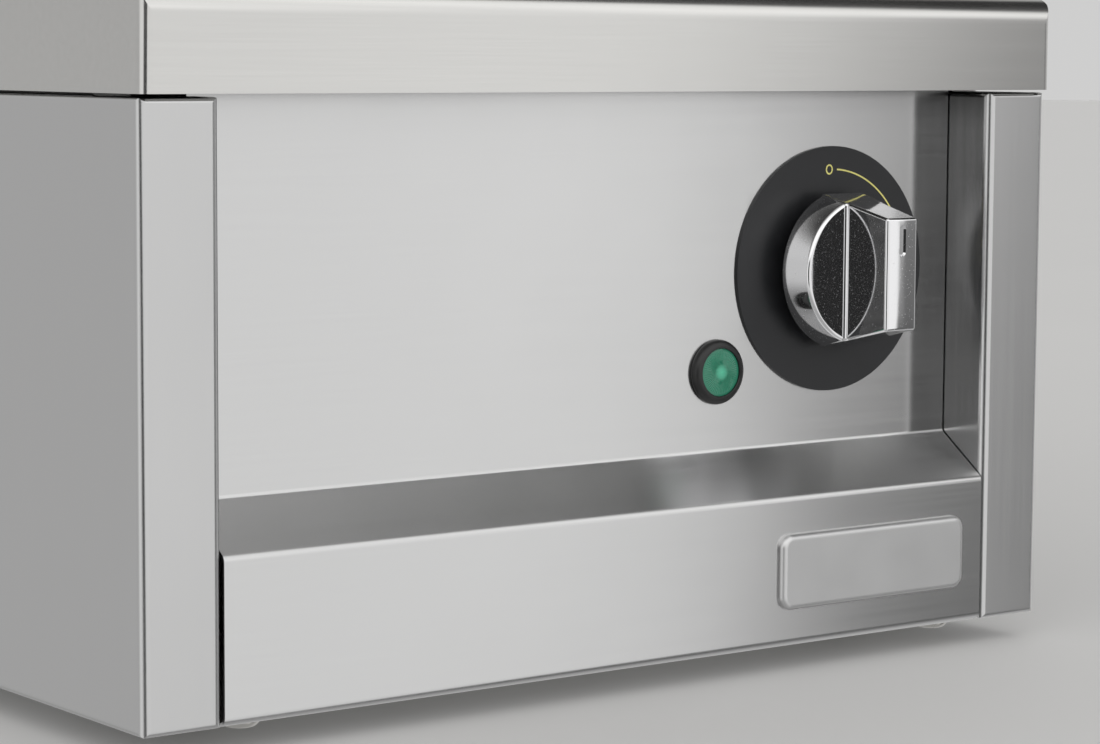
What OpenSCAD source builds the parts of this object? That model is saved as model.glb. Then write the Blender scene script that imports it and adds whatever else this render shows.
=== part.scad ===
// Counter-top chip warmer: a sheet-metal cabinet with a lift-out pan under an overhead infrared heater.
// Millimetres. The front faces -Y, +X is to the right seen from the front, and the floor is at z = 0.

/* [Cabinet] */
// Width across the two side panels
body_w = 400; // [390:5:460]
// Depth from the front posts to the rear panel
body_d = 600; // [590:5:680]
// Height from the underside of the fascia to the worktop
body_h = 240; // [232:2:280]
// Height of that underside above the floor
ground_gap = 10; // [8:1:20]
// Thickness of the folded panels
sheet_t = 1.2; // [0.8:0.1:1.6]
// Inside radius of a fold
fold_r = 2; // [1:0.25:3]
// Width of the folds that join the panels
flange_w = 18; // [14:1:24]
// Clearance between neighbouring fixed pieces
seam = 0.3; // [0.2:0.05:0.6]

/* [Front] */
// Width of each front post
post_w = 30; // [26:1:40]
// Depth of the fold behind each post
post_return = 34; // [28:1:40]
// Depth of the recess that holds the controls
recess_d = 22; // [16:1:26]
// Height of the lower fascia
fascia_h = 55.5; // [45:0.5:60]
// Rise of the sloping ledge from the fascia to the recess
ledge_rise = 16; // [10:1:22]
// Gap between each end of the front panel and its post
panel_gap = 0.5; // [0.4:0.1:3]
// Depth of the fold under the fascia
fascia_return = 24; // [20:1:30]
// Height of the front panel's upper edge above the underside of the skirt
panel_rise = 12; // [6:1:18]
// Distance of each fascia screw from the end of the front panel
fascia_screw_end = 13.5; // [10:0.5:30]
// Distance of the fascia screws behind the fascia
fascia_screw_in = 13; // [10:0.5:15]

/* [Worktop] */
// Thickness of the worktop
worktop_t = 1.5; // [1:0.1:2]
// Height of the worktop's skirt
skirt_h = 36; // [32:1:42]
// Gap between the skirt and the posts below it
skirt_gap = 1; // [0.5:0.25:4]
// How far the skirt stands in front of the posts
skirt_proud = 3; // [1:0.5:6]
// Depth of the fold under the front skirt
skirt_return = 10; // [7:0.5:14]
// Radius of the worktop's front edge
nose_r = 11; // [6:0.5:14]
// Radius of the worktop's other edges
edge_r = 4; // [3:0.25:6]
// Depth of the lip around the pan opening
opening_lip = 12; // [6:1:20]
// Width of the rails under the worktop
rail_w = 15; // [12:0.5:17]

/* [Dial and knob] */
// Distance of the knob from the right-hand end of the front panel
knob_end = 60.5; // [50:0.5:70]
// Height of the knob above the underside of the fascia
knob_z = 137; // [128:1:142]
// Diameter of the dial plate
dial_d = 92; // [70:1:96]
// Thickness of the dial plate
dial_t = 1; // [0.6:0.1:1.5]
// Gap between the dial plate and the knob's skirt
knob_gap = 6; // [4.5:0.5:8]
// Diameter of the knob's skirt at its back
knob_d = 59; // [54:1:64]
// Diameter of the knob's skirt at its front rim
knob_rim_d = 54; // [50:1:58]
// Depth of the knob's skirt
knob_skirt = 12; // [11:0.5:15]
// Radius of the rounding on the skirt's front rim
knob_rim_r = 1.5; // [0.5:0.25:2]
// Height of the grip's face above the panel
knob_h = 40; // [37:0.5:44]
// Wall of the knob
knob_wall = 3; // [2:0.25:4]
// Width of the grip at its root
grip_root_w = 19; // [17:0.5:22]
// Length of the grip at its root
grip_root_l = 57; // [50:1:60]
// Width of the grip at its face
grip_face_w = 15; // [13:0.5:17]
// Length of the grip at its face
grip_face_l = 41; // [36:1:46]
// Radius of the grip's crowned face
grip_crown_r = 120; // [80:5:200]
// Length of the pointer mark
pointer_l = 11; // [7:0.5:14]
// Width of the pointer mark
pointer_w = 3; // [2:0.25:4]
// Depth of the pointer mark
pointer_depth = 0.6; // [0.3:0.1:1]
// Diameter of the hub insert inside the knob
insert_d = 13; // [11:0.5:14]
// Thickness of the insert over the end of the spindle
insert_cap = 2; // [1.5:0.25:3]

/* [Switch] */
// Width and height of the switch body
switch_w = 38; // [32:1:42]
// Depth of the switch behind the panel
switch_depth = 42; // [36:1:46]
// Number of contact wafers in the switch
switch_wafers = 3; // [2:1:4]
// Thickness of the switch's mounting plate
switch_plate_t = 3; // [2:0.5:4]
// Diameter of the switch's threaded bush
bush_d = 10; // [9:0.5:11]
// Length of the bush in front of the panel
bush_l = 5; // [4.5:0.25:6]
// Diameter of the spindle
spindle_d = 6; // [5:0.5:7]
// Length of the spindle in front of the panel
spindle_l = 21; // [18:0.5:24]
// Length of the spindle inside the switch
spindle_tail = 14; // [10:1:20]
// Thickness across the spindle's flat
spindle_flat = 4.6; // [4:0.1:5]
// Width across the flats of the switch nut
switch_nut_af = 14; // [13:0.5:16]
// Thickness of the switch nut
switch_nut_t = 2.5; // [2:0.25:3]
// Radial running clearance of the spindle
running_fit = 0.05; // [0.02:0.01:0.1]
// Radial clearance of parts that pass through a panel
hole_fit = 0.25; // [0.2:0.05:0.5]
// Radial clearance of parts that push together
push_fit = 0.05; // [0.03:0.01:0.1]

/* [Pilot lamp] */
// Distance of the lamp from the right-hand end of the front panel
lamp_end = 115.5; // [112:0.5:140]
// Height of the lamp above the underside of the fascia
lamp_z = 101; // [95:1:125]
// Diameter of the lamp's flange
lamp_flange_d = 24; // [22:0.5:27]
// Height of the lamp's flange
lamp_flange_h = 3.4; // [2.5:0.1:5]
// Diameter of the lamp's barrel
lamp_barrel_d = 20; // [19:0.25:21]
// Length of the barrel behind the panel
lamp_barrel_l = 30; // [24:1:36]
// Diameter of the lens
lens_d = 17.6; // [16.4:0.2:18]
// Rise of the domed lens
lens_rise = 0.7; // [0.4:0.1:1.2]
// Depth of the lens inside the barrel
lens_depth = 6; // [4:0.5:9]
// Width across the flats of the lamp nut
lamp_nut_af = 24; // [23:0.5:27]
// Thickness of the lamp nut
lamp_nut_t = 4; // [3:0.5:6]

/* [Badge] */
// Distance of the bare badge's middle from the right-hand end of the front panel
badge_end = 57; // [52:0.5:160]
// Height of the badge's middle above the underside of the fascia
badge_z = 28; // [22:1:36]
// Width of the badge
badge_w = 92; // [60:1:94]
// Height of the badge
badge_h = 28; // [18:1:31]
// Thickness of the badge
badge_t = 2.6; // [1.9:0.1:3.2]
// Corner radius of the badge
badge_r = 5; // [2.5:0.5:7]
// Bevel around the badge's face
badge_bevel = 1.6; // [0.6:0.1:1.7]

/* [Pan] */
// Width of the pan over its rim
pan_w = 325; // [290:5:330]
// Length of the pan over its rim
pan_l = 460; // [380:5:460]
// Depth of the pan
pan_depth = 150; // [100:5:160]
// Thickness of the pan's wall
pan_t = 1; // [0.8:0.1:1.5]
// Width of the pan's rim
pan_rim = 12.5; // [11:0.5:16]
// Corner radius of the pan's body
pan_corner = 40; // [30:1:50]
// How far each wall leans in towards the base
pan_draft = 5; // [2:0.5:9]
// Radius between the walls and the base
pan_base_r = 18; // [10:1:24]
// Clearance between the pan and its opening
pan_fit = 2; // [1:0.25:3]
// Gap between the pan's rim and the upright
pan_gap = 7; // [4:0.5:12]
// Thickness of the drain plate
drain_t = 1.5; // [1:0.1:2]
// Height of the drain plate above the base of the pan
drain_h = 26; // [22:1:40]
// Clearance between the drain plate and the pan
drain_fit = 3; // [2:0.5:6]
// Diameter of the drain holes
drain_hole_d = 9; // [6:0.5:12]
// Spacing of the drain holes
drain_pitch = 22; // [18:1:30]
// Diameter of the finger holes in the drain plate
finger_d = 28; // [24:1:34]

/* [Upright] */
// Width of the upright
upright_w = 317; // [290:1:330]
// Depth of the upright
upright_d = 52; // [46:1:60]
// Distance of the upright's rear face from the rear panel
upright_in = 8; // [6:1:14]
// Height of the open bay between the worktop and the canopy
bay_h = 260; // [230:5:340]
// Thickness of the upright's foot plate
foot_plate_t = 3; // [2:0.5:5]
// Thickness of the backing plate under the worktop
backing_t = 3; // [2:0.5:5]
// Diameter of the cable hole under the upright
cable_hole_d = 22; // [16:1:26]
// Diameter of the upright's fixing bolts
upright_bolt_d = 6; // [5:0.5:8]
// Distance of the outer bolts from the upright's sides
upright_bolt_in = 25; // [20:1:30]
// Spacing of the two bolts on each side of the upright
upright_bolt_pitch = 63; // [40:1:80]

/* [Canopy] */
// Height of the canopy
canopy_h = 55; // [48:1:70]
// Reach of the canopy in front of the upright
canopy_reach = 300; // [280:5:340]
// Height of the canopy's vertical front edge
canopy_edge = 20; // [14:1:26]
// Depth of the canopy's sloping front
canopy_slope = 42; // [20:1:60]
// Width of the canopy's lower lip
canopy_lip = 12; // [10:0.5:16]
// Distance of the canopy's screws from the upright's front and rear faces
canopy_screw_in = 15; // [12:0.5:20]
// Headroom between the reflector and the canopy's top
reflector_head = 16; // [14:1:20]
// Depth of the reflector's sloping sides
reflector_slope = 24; // [14:1:34]
// Height of the reflector's lower edge above the canopy's lip
reflector_lift = 9; // [8.5:0.5:12]
// Length of an emitter
emitter_l = 245; // [200:5:260]
// Width of an emitter
emitter_w = 60; // [50:1:70]
// Thickness of an emitter's wall
emitter_t = 9; // [6:0.5:10]
// Radius of an emitter's trough
emitter_r = 75; // [60:1:120]
// Distance between the two emitters
emitter_pitch = 110; // [90:1:130]
// Gap between an emitter and the reflector
emitter_gap = 6; // [4:0.5:8]
// Length of an emitter's holding boss
boss_l = 32; // [24:1:40]
// Width of an emitter's holding boss
boss_w = 14; // [12:0.5:18]
// Height of the boss above the reflector
boss_h = 8; // [6:0.5:9]
// Thickness of the clip that holds the boss
clip_t = 1.5; // [1:0.25:2]
// Width of the clip around the boss
clip_margin = 6; // [4:0.5:8]
// Diameter of the guard's side rods
guard_side_d = 4; // [3.5:0.25:4.5]
// Diameter of the guard's cross rods
guard_rod_d = 3; // [2.5:0.25:3.5]
// Depth of the welds between the guard's rods
guard_weld = 0.5; // [0.3:0.1:0.8]
// Number of cross rods in the guard
guard_rods = 13; // [9:1:16]

/* [Feet and fasteners] */
// Diameter of a foot where it meets the base
foot_d = 32; // [28:1:40]
// Diameter of a foot where it meets the floor
foot_floor_d = 28; // [25:1:36]
// Thickness of the foot under its screw's head
foot_seat = 4; // [3:0.5:6]
// Distance of each foot from the side
foot_in_x = 50; // [42:1:80]
// Distance of each foot from the front and rear
foot_in_y = 70; // [55:1:110]
// Diameter of the larger screws
screw_d = 5; // [4:0.5:6]
// Diameter of the smaller screws
small_screw_d = 4; // [3:0.5:4.5]
// Spacing of the fixing holes in the base across the width
fixing_w = 240; // [200:5:260]
// Spacing of the fixing holes in the base along the depth
fixing_l = 400; // [300:5:420]
// Diameter of the fixing holes in the base
fixing_d = 7; // [6:0.5:9]

/* [Rear] */
// Distance of the cable gland to the right of the middle, seen from the front
gland_x = -120; // [-130:1:-90]
// Height of the cable gland above the underside
gland_z = 42; // [38:1:80]
// Diameter of the gland's thread
gland_d = 20; // [18:0.5:22]
// Bore of the gland
gland_bore = 10; // [8:0.5:12]
// Width across the flats of the gland
gland_af = 24; // [23:0.5:28]
// Thickness of the gland's hexagon
gland_hex_t = 5; // [4:0.5:7]
// Length of the gland's cap
gland_cap_l = 13; // [11:0.5:16]
// Length of the gland's thread inside the rear panel
gland_tail = 12; // [10:0.5:16]
// Step in diameter between the gland's thread and the thread of its cap
gland_step = 2; // [1.5:0.25:3]
// Distance of the bonding stud to the right of the middle
stud_x = 130; // [100:1:140]
// Height of the bonding stud above the underside
stud_z = 38; // [30:1:80]
// Diameter of the bonding stud
stud_d = 6; // [5:0.5:8]
// Diameter of the stud's tail through the rear panel
stud_tail_d = 8; // [7:0.5:10]
// Length of the bonding stud outside the rear panel
stud_l = 17; // [15:0.5:17.5]
// Distance of each group of vents from the middle
vent_x = 60; // [50:1:70]
// Height of the lowest rear vent above the underside
vent_z = 99; // [95:1:104]
// Length of a vent slot
vent_l = 70; // [50:2:90]
// Width of a vent slot
vent_w = 5; // [3:0.5:6]
// Spacing of the vent slots
vent_pitch = 14; // [11:1:16]
// Number of vent slots in each group
vent_count = 6; // [4:1:7]

/* [Terminals and leads] */
// Distance of the terminal block in front of the rear panel
terminal_in = 110; // [90:1:130]
// Width of one pole of the terminal block
terminal_pole = 14; // [12:0.5:16]
// Length of the terminal block along the leads
terminal_l = 26; // [22:1:32]
// Height of the terminal block
terminal_h = 20; // [16:1:24]
// Distance of the heater's terminal block in front of the upright
heater_block_in = 24; // [22:1:30]
// Width of one pole of the heater's terminal block
heater_pole = 11; // [9:0.5:13]
// Length of the heater's terminal block along the lead
heater_block_l = 18; // [14:1:22]
// Height of the heater's terminal block
heater_block_h = 10; // [9:0.5:11]
// Diameter of the switch's lead and the heater's lead
lead_d = 7; // [5:0.5:8]
// Diameter of the lamp's lead
lamp_lead_d = 5; // [3:0.5:6]
// Height of the switch's lead above the base
lead_clear = 3; // [2:0.5:6]
// Size of a bend in the switch's lead
lead_bend = 24; // [18:1:30]
// Straight length at each end of the heater's lead
lead_straight = 12; // [8:1:14]
// Diameter of the heater lead's hole in the upright
lead_hole_d = 16; // [12:0.5:18]

/* [Hidden] */

$fn = 48;
round_fn = 96;
fold_steps = 6;
wide_steps = 12;
wide_r = 8;
base_steps = 4;
lead_sides = 8;
lead_steps = 4;
lead_side = [0.31, 0.42, 0.85];
over = 1;
skin = 0.01;
hole_reach = 6;
slot_round = 0.49;

steel = [0.78, 0.78, 0.77];
dark_steel = [0.6, 0.6, 0.6];
bright = [0.88, 0.88, 0.9];
black = [0.08, 0.08, 0.08];
brass = [0.78, 0.62, 0.3];
ceramic = [0.92, 0.9, 0.85];
lens_green = [0.1, 0.55, 0.35];

// Main planes of the cabinet
base_z = ground_gap;
top_z = base_z + body_h;
front_y = -body_d / 2;
rear_y = body_d / 2;
side_x = body_w / 2;
post_x = side_x - post_w;
skirt_z = top_z - skirt_h;
post_top_z = skirt_z - skirt_gap;
panel_top_z = skirt_z + panel_rise;
panel_y = front_y + recess_d;
panel_half = post_x - panel_gap;
knob_x = panel_half - knob_end;
lamp_x = panel_half - lamp_end;
badge_x = panel_half - badge_end;
fascia_screw_x = panel_half - fascia_screw_end;
ledge_z = base_z + fascia_h;
flange_rear_y = rear_y - sheet_t;
floor_z = base_z + sheet_t;
rail_top_z = top_z - worktop_t;
outer_r = fold_r + sheet_t;
rear_rail_edge = rear_y - worktop_t - seam;
rear_rail_y = rear_rail_edge - rail_w;

// Upright, pan and canopy
upright_rear_y = rear_y - upright_in;
upright_y = upright_rear_y - upright_d;
upright_mid_y = upright_y + upright_d / 2;
pan_y = upright_y - pan_gap - pan_l / 2;
pan_body_w = pan_w - 2 * pan_rim;
pan_body_l = pan_l - 2 * pan_rim;
pan_top_z = top_z + pan_t;
pan_floor_z = pan_top_z - pan_depth + pan_t;
opening_w = pan_body_w + 2 * pan_fit;
opening_l = pan_body_l + 2 * pan_fit;
opening_r = pan_corner + pan_fit;
canopy_z = top_z + bay_h;
canopy_top_z = canopy_z + canopy_h;
canopy_w = upright_w + 2 * (sheet_t + seam);
canopy_in_x = canopy_w / 2 - sheet_t;
canopy_y = upright_y - canopy_reach;
canopy_rear_y = upright_rear_y + sheet_t + seam + sheet_t;
cover_top_z = canopy_top_z - outer_r - seam;
reflector_z = canopy_top_z - reflector_head;
reflector_y = canopy_y + sheet_t + canopy_lip;
reflector_rear_y = upright_y - seam - sheet_t;
emitter_mid_y = (reflector_y + reflector_rear_y) / 2;

// Terminal blocks and leads
terminal_y = rear_y - terminal_in;
heater_block_y = upright_y - heater_block_in;
lead_floor_z = floor_z + sheet_t + lead_clear + lead_d / 2;
lead_start_y = terminal_y - terminal_l / 2 - seam;
lead_post_y = panel_y + sheet_t + switch_depth / 2;

// Controls, measured out of the panel's face
knob_back = dial_t + knob_gap;
knob_rim = knob_back + knob_skirt;
insert_back = bush_l + seam;
insert_top = spindle_l + insert_cap;
switch_back = -sheet_t - switch_depth;

// Screw heads, hexagons and nuts follow their thread
head_ratio = 1.9;
head_h_ratio = 0.62;
head_taper = 0.8;
nut_af_ratio = 1.65;
nut_t_ratio = 0.8;
past_nut_ratio = 1.5;
tapping_ratio = 3;
function head_d(d) = head_ratio * d;
function head_h(d) = head_h_ratio * d;
function nut_af(d) = nut_af_ratio * d;
function nut_t(d) = nut_t_ratio * d;
function past_nut(d) = past_nut_ratio * d;
function tapping_l(d) = tapping_ratio * d;
function across_corners(af) = af / cos(30);

// Geometry of outlines: unit vectors, turns and corners rounded to an arc
function unit(v) = v / norm(v);
function left_of(v) = [-v.y, v.x];
function turn(u, v) = atan2(u.x * v.y - u.y * v.x, u * v);
function arc_steps(r) = r > wide_r ? wide_steps : fold_steps;
function corner_arc(a, b, c, r) =
    let (
        u = unit(b - a),
        k = turn(u, unit(c - b)),
        begin = b - u * r * tan(abs(k) / 2),
        centre = begin + sign(k) * r * left_of(u),
        first = atan2(begin.y - centre.y, begin.x - centre.x),
        steps = arc_steps(r)
    )
    [for (i = [0:steps]) centre + r * [cos(first + k * i / steps), sin(first + k * i / steps)]];
function rounded_outline(p, r) =
    let (n = len(p))
    [for (i = [0:n - 1]) each corner_arc(p[(i + n - 1) % n], p[i], p[(i + 1) % n], r)];
function rect(x0, y0, x1, y1) = [[x0, y0], [x1, y0], [x1, y1], [x0, y1]];
function centred(w, l) = rect(-w / 2, -l / 2, w / 2, l / 2);
function reversed(p) = [for (i = [len(p) - 1:-1:0]) p[i]];

// One face of a folded sheet through the corners p, with a radius for left turns and one for right turns
function folded_face(p, left_r, right_r) =
    let (n = len(p))
    [
        p[0],
        for (i = [1:n - 2])
            each corner_arc(
                p[i - 1], p[i], p[i + 1],
                turn(p[i] - p[i - 1], p[i + 1] - p[i]) > 0 ? left_r : right_r
            ),
        p[n - 1]
    ];
// The corners p moved to the left by t
function shifted(p, t) =
    let (n = len(p))
    [
        for (i = [0:n - 1])
            let (
                u = unit(p[min(i + 1, n - 1)] - p[min(i, n - 2)]),
                w = unit(p[max(i, 1)] - p[max(i - 1, 0)])
            )
            p[i] + t * (left_of(u) + left_of(w)) / (1 + u * w)
    ];

// Section of a folded sheet: its outer face runs through the corners p and its thickness lies to the left
module folded_sheet(p, t = sheet_t) {
    face = folded_face(p, fold_r + t, fold_r);
    back = folded_face(shifted(p, t), fold_r, fold_r + t);
    polygon(concat(face, reversed(back)));
}

// A section drawn in depth and height, run across the width
module across(x0, x1) {
    translate([x0, 0, 0]) rotate([90, 0, 90]) linear_extrude(x1 - x0) children();
}

// A section drawn in width and height, run along the depth
module along(y0, y1) {
    translate([0, y1, 0]) rotate([90, 0, 0]) linear_extrude(y1 - y0) children();
}

// A section drawn in plan, run upwards
module upwards(z0, z1) {
    translate([0, 0, z0]) linear_extrude(z1 - z0) children();
}

// Places on the control panel and on the rear panel, with z pointing out of the cabinet
module on_panel(x, z) {
    translate([x, panel_y, base_z + z]) rotate([90, 0, 0]) children();
}

module on_rear(x, z) {
    translate([x, rear_y, base_z + z]) rotate([90, 0, 180]) children();
}

// A pan-head screw with its head above z = 0 and its shank below
module screw(d, l) {
    translate([0, 0, -l]) cylinder(d = d, h = l);
    cylinder(d1 = head_d(d), d2 = head_taper * head_d(d), h = head_h(d));
}

// A plain nut that stands on z = 0
module nut(af, t, bore) {
    difference() {
        cylinder(d = across_corners(af), h = t, $fn = 6);
        translate([0, 0, -over]) cylinder(d = bore, h = t + 2 * over);
    }
}

// A round hole through whatever lies within reach of z = 0
module hole(d, reach = hole_reach) {
    translate([0, 0, -reach]) cylinder(d = d, h = 2 * reach);
}

// A slot with round ends, drawn flat
module slot(l, w) {
    polygon(rounded_outline(centred(l, w), slot_round * min(l, w)));
}

// Screw places
function rear_screw_places() =
    let (x = side_x - flange_w / 2 - sheet_t, low = floor_z + flange_w, high = post_top_z - flange_w)
    [for (s = [-1, 1]) for (z = [low, (low + high) / 2, high]) [s * x, z - base_z]];
function foot_places() =
    [for (sy = [-1, 1]) for (sx = [-1, 1]) [sx * (side_x - foot_in_x), sy * (rear_y - foot_in_y)]];
function upright_bolt_places() =
    let (outer = upright_w / 2 - upright_bolt_in)
    [for (s = [-1, 1]) for (x = [outer - upright_bolt_pitch, outer]) [s * x, upright_mid_y]];
function canopy_screw_places() =
    [for (y = [upright_y + canopy_screw_in, upright_rear_y - canopy_screw_in]) [y, canopy_z + canopy_h / 2]];
function cover_screw_places() =
    let (x = upright_w / 2 - flange_w / 2, low = top_z + flange_w, high = canopy_z - flange_w)
    [for (s = [-1, 1]) for (z = [low, (low + high) / 2, high]) [s * x, z]];
fixing_places = [for (sy = [-1, 1]) for (sx = [-1, 1]) [sx * fixing_w / 2, sy * fixing_l / 2]];
fascia_screw_places = [for (s = [-1, 1]) [s * fascia_screw_x, front_y + fascia_screw_in]];

// Side panel with its front post, drawn for the right-hand side
module side_panel() {
    plan = [
        [post_x, front_y + post_return],
        [post_x, front_y],
        [side_x, front_y],
        [side_x, flange_rear_y],
        [side_x - flange_w, flange_rear_y]
    ];
    ledge = concat(
        folded_face(plan, outer_r, fold_r),
        [[side_x - flange_w, front_y + post_return]]
    );
    color(steel)
        difference() {
            intersection() {
                union() {
                    upwards(base_z, post_top_z) folded_sheet(plan);
                    upwards(base_z, base_z + sheet_t) polygon(ledge);
                    upwards(post_top_z - sheet_t, post_top_z) polygon(ledge);
                }
                across(post_x - over, side_x + over)
                    polygon(rounded_outline(rect(front_y, base_z, flange_rear_y, post_top_z), fold_r));
                along(front_y - over, flange_rear_y + over)
                    polygon(rounded_outline(rect(post_x, base_z, side_x, post_top_z), fold_r));
            }
            for (p = rear_screw_places())
                on_rear(p.x, p.y) hole(small_screw_d + 2 * hole_fit);
        }
}

module left_side_panel() {
    mirror([1, 0, 0]) side_panel();
}

module right_side_panel() {
    side_panel();
}

// Base tray between the side panels, with a tongue between the posts
module base_pan() {
    half = side_x - sheet_t - seam;
    tray_front_y = front_y + post_return + seam;
    tray_rear_y = flange_rear_y - outer_r - seam;
    tongue_y = front_y + outer_r + seam;
    lip_z = floor_z + flange_w;
    color(dark_steel)
        difference() {
            union() {
                along(tray_front_y, tray_rear_y)
                    folded_sheet([[-half, lip_z], [-half, floor_z], [half, floor_z], [half, lip_z]]);
                upwards(floor_z, floor_z + sheet_t)
                    polygon(rect(-panel_half, tongue_y, panel_half, tray_front_y + flange_w));
            }
            for (p = foot_places())
                translate([p.x, p.y, floor_z]) hole(screw_d + 2 * hole_fit);
            for (p = fascia_screw_places)
                translate([p.x, p.y, floor_z]) hole(screw_d + 2 * hole_fit);
            for (p = fixing_places)
                translate([p.x, p.y, floor_z]) hole(fixing_d);
            upwards(floor_z - over, floor_z + sheet_t + over)
                for (s = [-1, 1])
                    for (i = [0:vent_count - 1])
                        translate([s * vent_x, (i - (vent_count - 1) / 2) * vent_pitch])
                            slot(vent_l, vent_w);
        }
}

// Rear panel with two groups of vents, the gland hole and the stud hole
module rear_panel() {
    wide = side_x - outer_r - seam;
    narrow = side_x - flange_w - seam;
    low = base_z + seam;
    color(steel)
        difference() {
            union() {
                across(-narrow, narrow)
                    folded_sheet([[rear_y, low], [rear_y, post_top_z], [rear_y - rail_w, post_top_z]]);
                across(-wide, wide)
                    polygon(rect(rear_y - sheet_t, low, rear_y, post_top_z - outer_r - seam));
            }
            for (p = rear_screw_places())
                on_rear(p.x, p.y) hole(small_screw_d + 2 * hole_fit);
            on_rear(gland_x, gland_z) hole(gland_d + 2 * hole_fit);
            on_rear(stud_x, stud_z) hole(stud_tail_d + 2 * hole_fit);
            for (s = [-1, 1])
                for (i = [0:vent_count - 1])
                    on_rear(s * vent_x, vent_z + i * vent_pitch)
                        translate([0, 0, -2 * sheet_t]) linear_extrude(4 * sheet_t) slot(vent_l, vent_w);
        }
}

module rear_panel_screws() {
    color(bright)
        for (p = rear_screw_places())
            on_rear(p.x, p.y) screw(small_screw_d, tapping_l(small_screw_d));
}

// Rails of the frame that carries the worktop, each a channel that opens inwards
module rail_section(edge, inner) {
    folded_sheet([[inner, rail_top_z], [edge, rail_top_z], [edge, post_top_z], [inner, post_top_z]]);
}

module front_top_rail() {
    edge = panel_y + sheet_t;
    color(dark_steel) across(-panel_half, panel_half) rail_section(edge, edge + rail_w);
}

module rear_top_rail() {
    half = side_x - flange_w - seam;
    color(dark_steel)
        mirror([0, 1, 0]) across(-half, half) rail_section(-rear_rail_edge, -rear_rail_y);
}

module side_top_rail() {
    edge = side_x - worktop_t - seam;
    color(dark_steel)
        mirror([1, 0, 0])
            along(front_y + post_return, rear_y - edge_r) rail_section(-edge, rail_w - edge);
}

module left_top_rail() {
    mirror([1, 0, 0]) side_top_rail();
}

module right_top_rail() {
    side_top_rail();
}

// Outside or inside form of the worktop: a lid with a large front radius and small ones elsewhere
module worktop_form(inset) {
    x = side_x - inset;
    y0 = front_y - skirt_proud + inset;
    y1 = rear_y - inset;
    z0 = inset > 0 ? skirt_z - over : skirt_z;
    z1 = top_z - inset;
    r = edge_r - inset;
    intersection() {
        across(-x, x)
            polygon(concat(
                [[y1, z0]],
                corner_arc([y1, z0], [y1, z1], [y0, z1], r),
                corner_arc([y1, z1], [y0, z1], [y0, z0], nose_r - inset),
                [[y0, z0]]
            ));
        along(y0 - over, y1 + over)
            polygon(concat(
                [[x, z0]],
                corner_arc([x, z0], [x, z1], [-x, z1], r),
                corner_arc([x, z1], [-x, z1], [-x, z0], r),
                [[-x, z0]]
            ));
        upwards(z0, z1) polygon(rounded_outline(rect(-x, y0, x, y1), r));
    }
}

module worktop() {
    return_x = side_x - edge_r;
    return_y = front_y - skirt_proud;
    color(steel)
        difference() {
            union() {
                difference() {
                    worktop_form(0);
                    worktop_form(worktop_t);
                }
                upwards(skirt_z, skirt_z + worktop_t)
                    polygon(rect(-return_x, return_y + worktop_t / 2, return_x, return_y + skirt_return));
                translate([0, pan_y, 0])
                    upwards(top_z - opening_lip, top_z - worktop_t / 2)
                        polygon(rounded_outline(
                            centred(opening_w + 2 * worktop_t, opening_l + 2 * worktop_t),
                            opening_r + worktop_t
                        ));
            }
            translate([0, pan_y, 0])
                upwards(top_z - opening_lip - over, top_z + over)
                    polygon(rounded_outline(centred(opening_w, opening_l), opening_r));
            translate([0, upright_mid_y, top_z]) hole(cable_hole_d);
            for (p = upright_bolt_places())
                translate([p.x, p.y, top_z]) hole(upright_bolt_d + 2 * hole_fit);
        }
}

// Control panel, ledge and fascia folded from one sheet
module front_panel() {
    profile = [
        [panel_y, panel_top_z],
        [panel_y, ledge_z + ledge_rise],
        [front_y, ledge_z],
        [front_y, base_z],
        [front_y + fascia_return, base_z]
    ];
    color(steel)
        difference() {
            across(-panel_half, panel_half) folded_sheet(profile);
            on_panel(knob_x, knob_z) hole(bush_d + 2 * hole_fit);
            on_panel(lamp_x, lamp_z) hole(lamp_barrel_d + 2 * hole_fit);
            for (p = fascia_screw_places)
                translate([p.x, p.y, base_z]) hole(screw_d + 2 * hole_fit);
        }
}

module fascia_screws() {
    color(bright)
        for (p = fascia_screw_places)
            translate([p.x, p.y, base_z]) rotate([180, 0, 0]) screw(screw_d, 2 * sheet_t + past_nut(screw_d));
}

module fascia_nuts() {
    color(bright)
        for (p = fascia_screw_places)
            translate([p.x, p.y, floor_z + sheet_t])
                nut(nut_af(screw_d), nut_t(screw_d), screw_d + 2 * push_fit);
}

// Bare badge with a bevelled edge
module badge_plate() {
    face_w = badge_w - 2 * badge_bevel;
    face_h = badge_h - 2 * badge_bevel;
    color(bright)
        translate([badge_x, front_y, base_z + badge_z])
            rotate([90, 0, 0])
                hull() {
                    linear_extrude(badge_t - badge_bevel)
                        polygon(rounded_outline(centred(badge_w, badge_h), badge_r));
                    linear_extrude(badge_t)
                        polygon(rounded_outline(centred(face_w, face_h), badge_r - badge_bevel));
                }
}

module dial_plate() {
    color(black)
        on_panel(knob_x, knob_z)
            difference() {
                cylinder(d = dial_d, h = dial_t, $fn = round_fn);
                hole(bush_d + 2 * hole_fit);
            }
}

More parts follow.
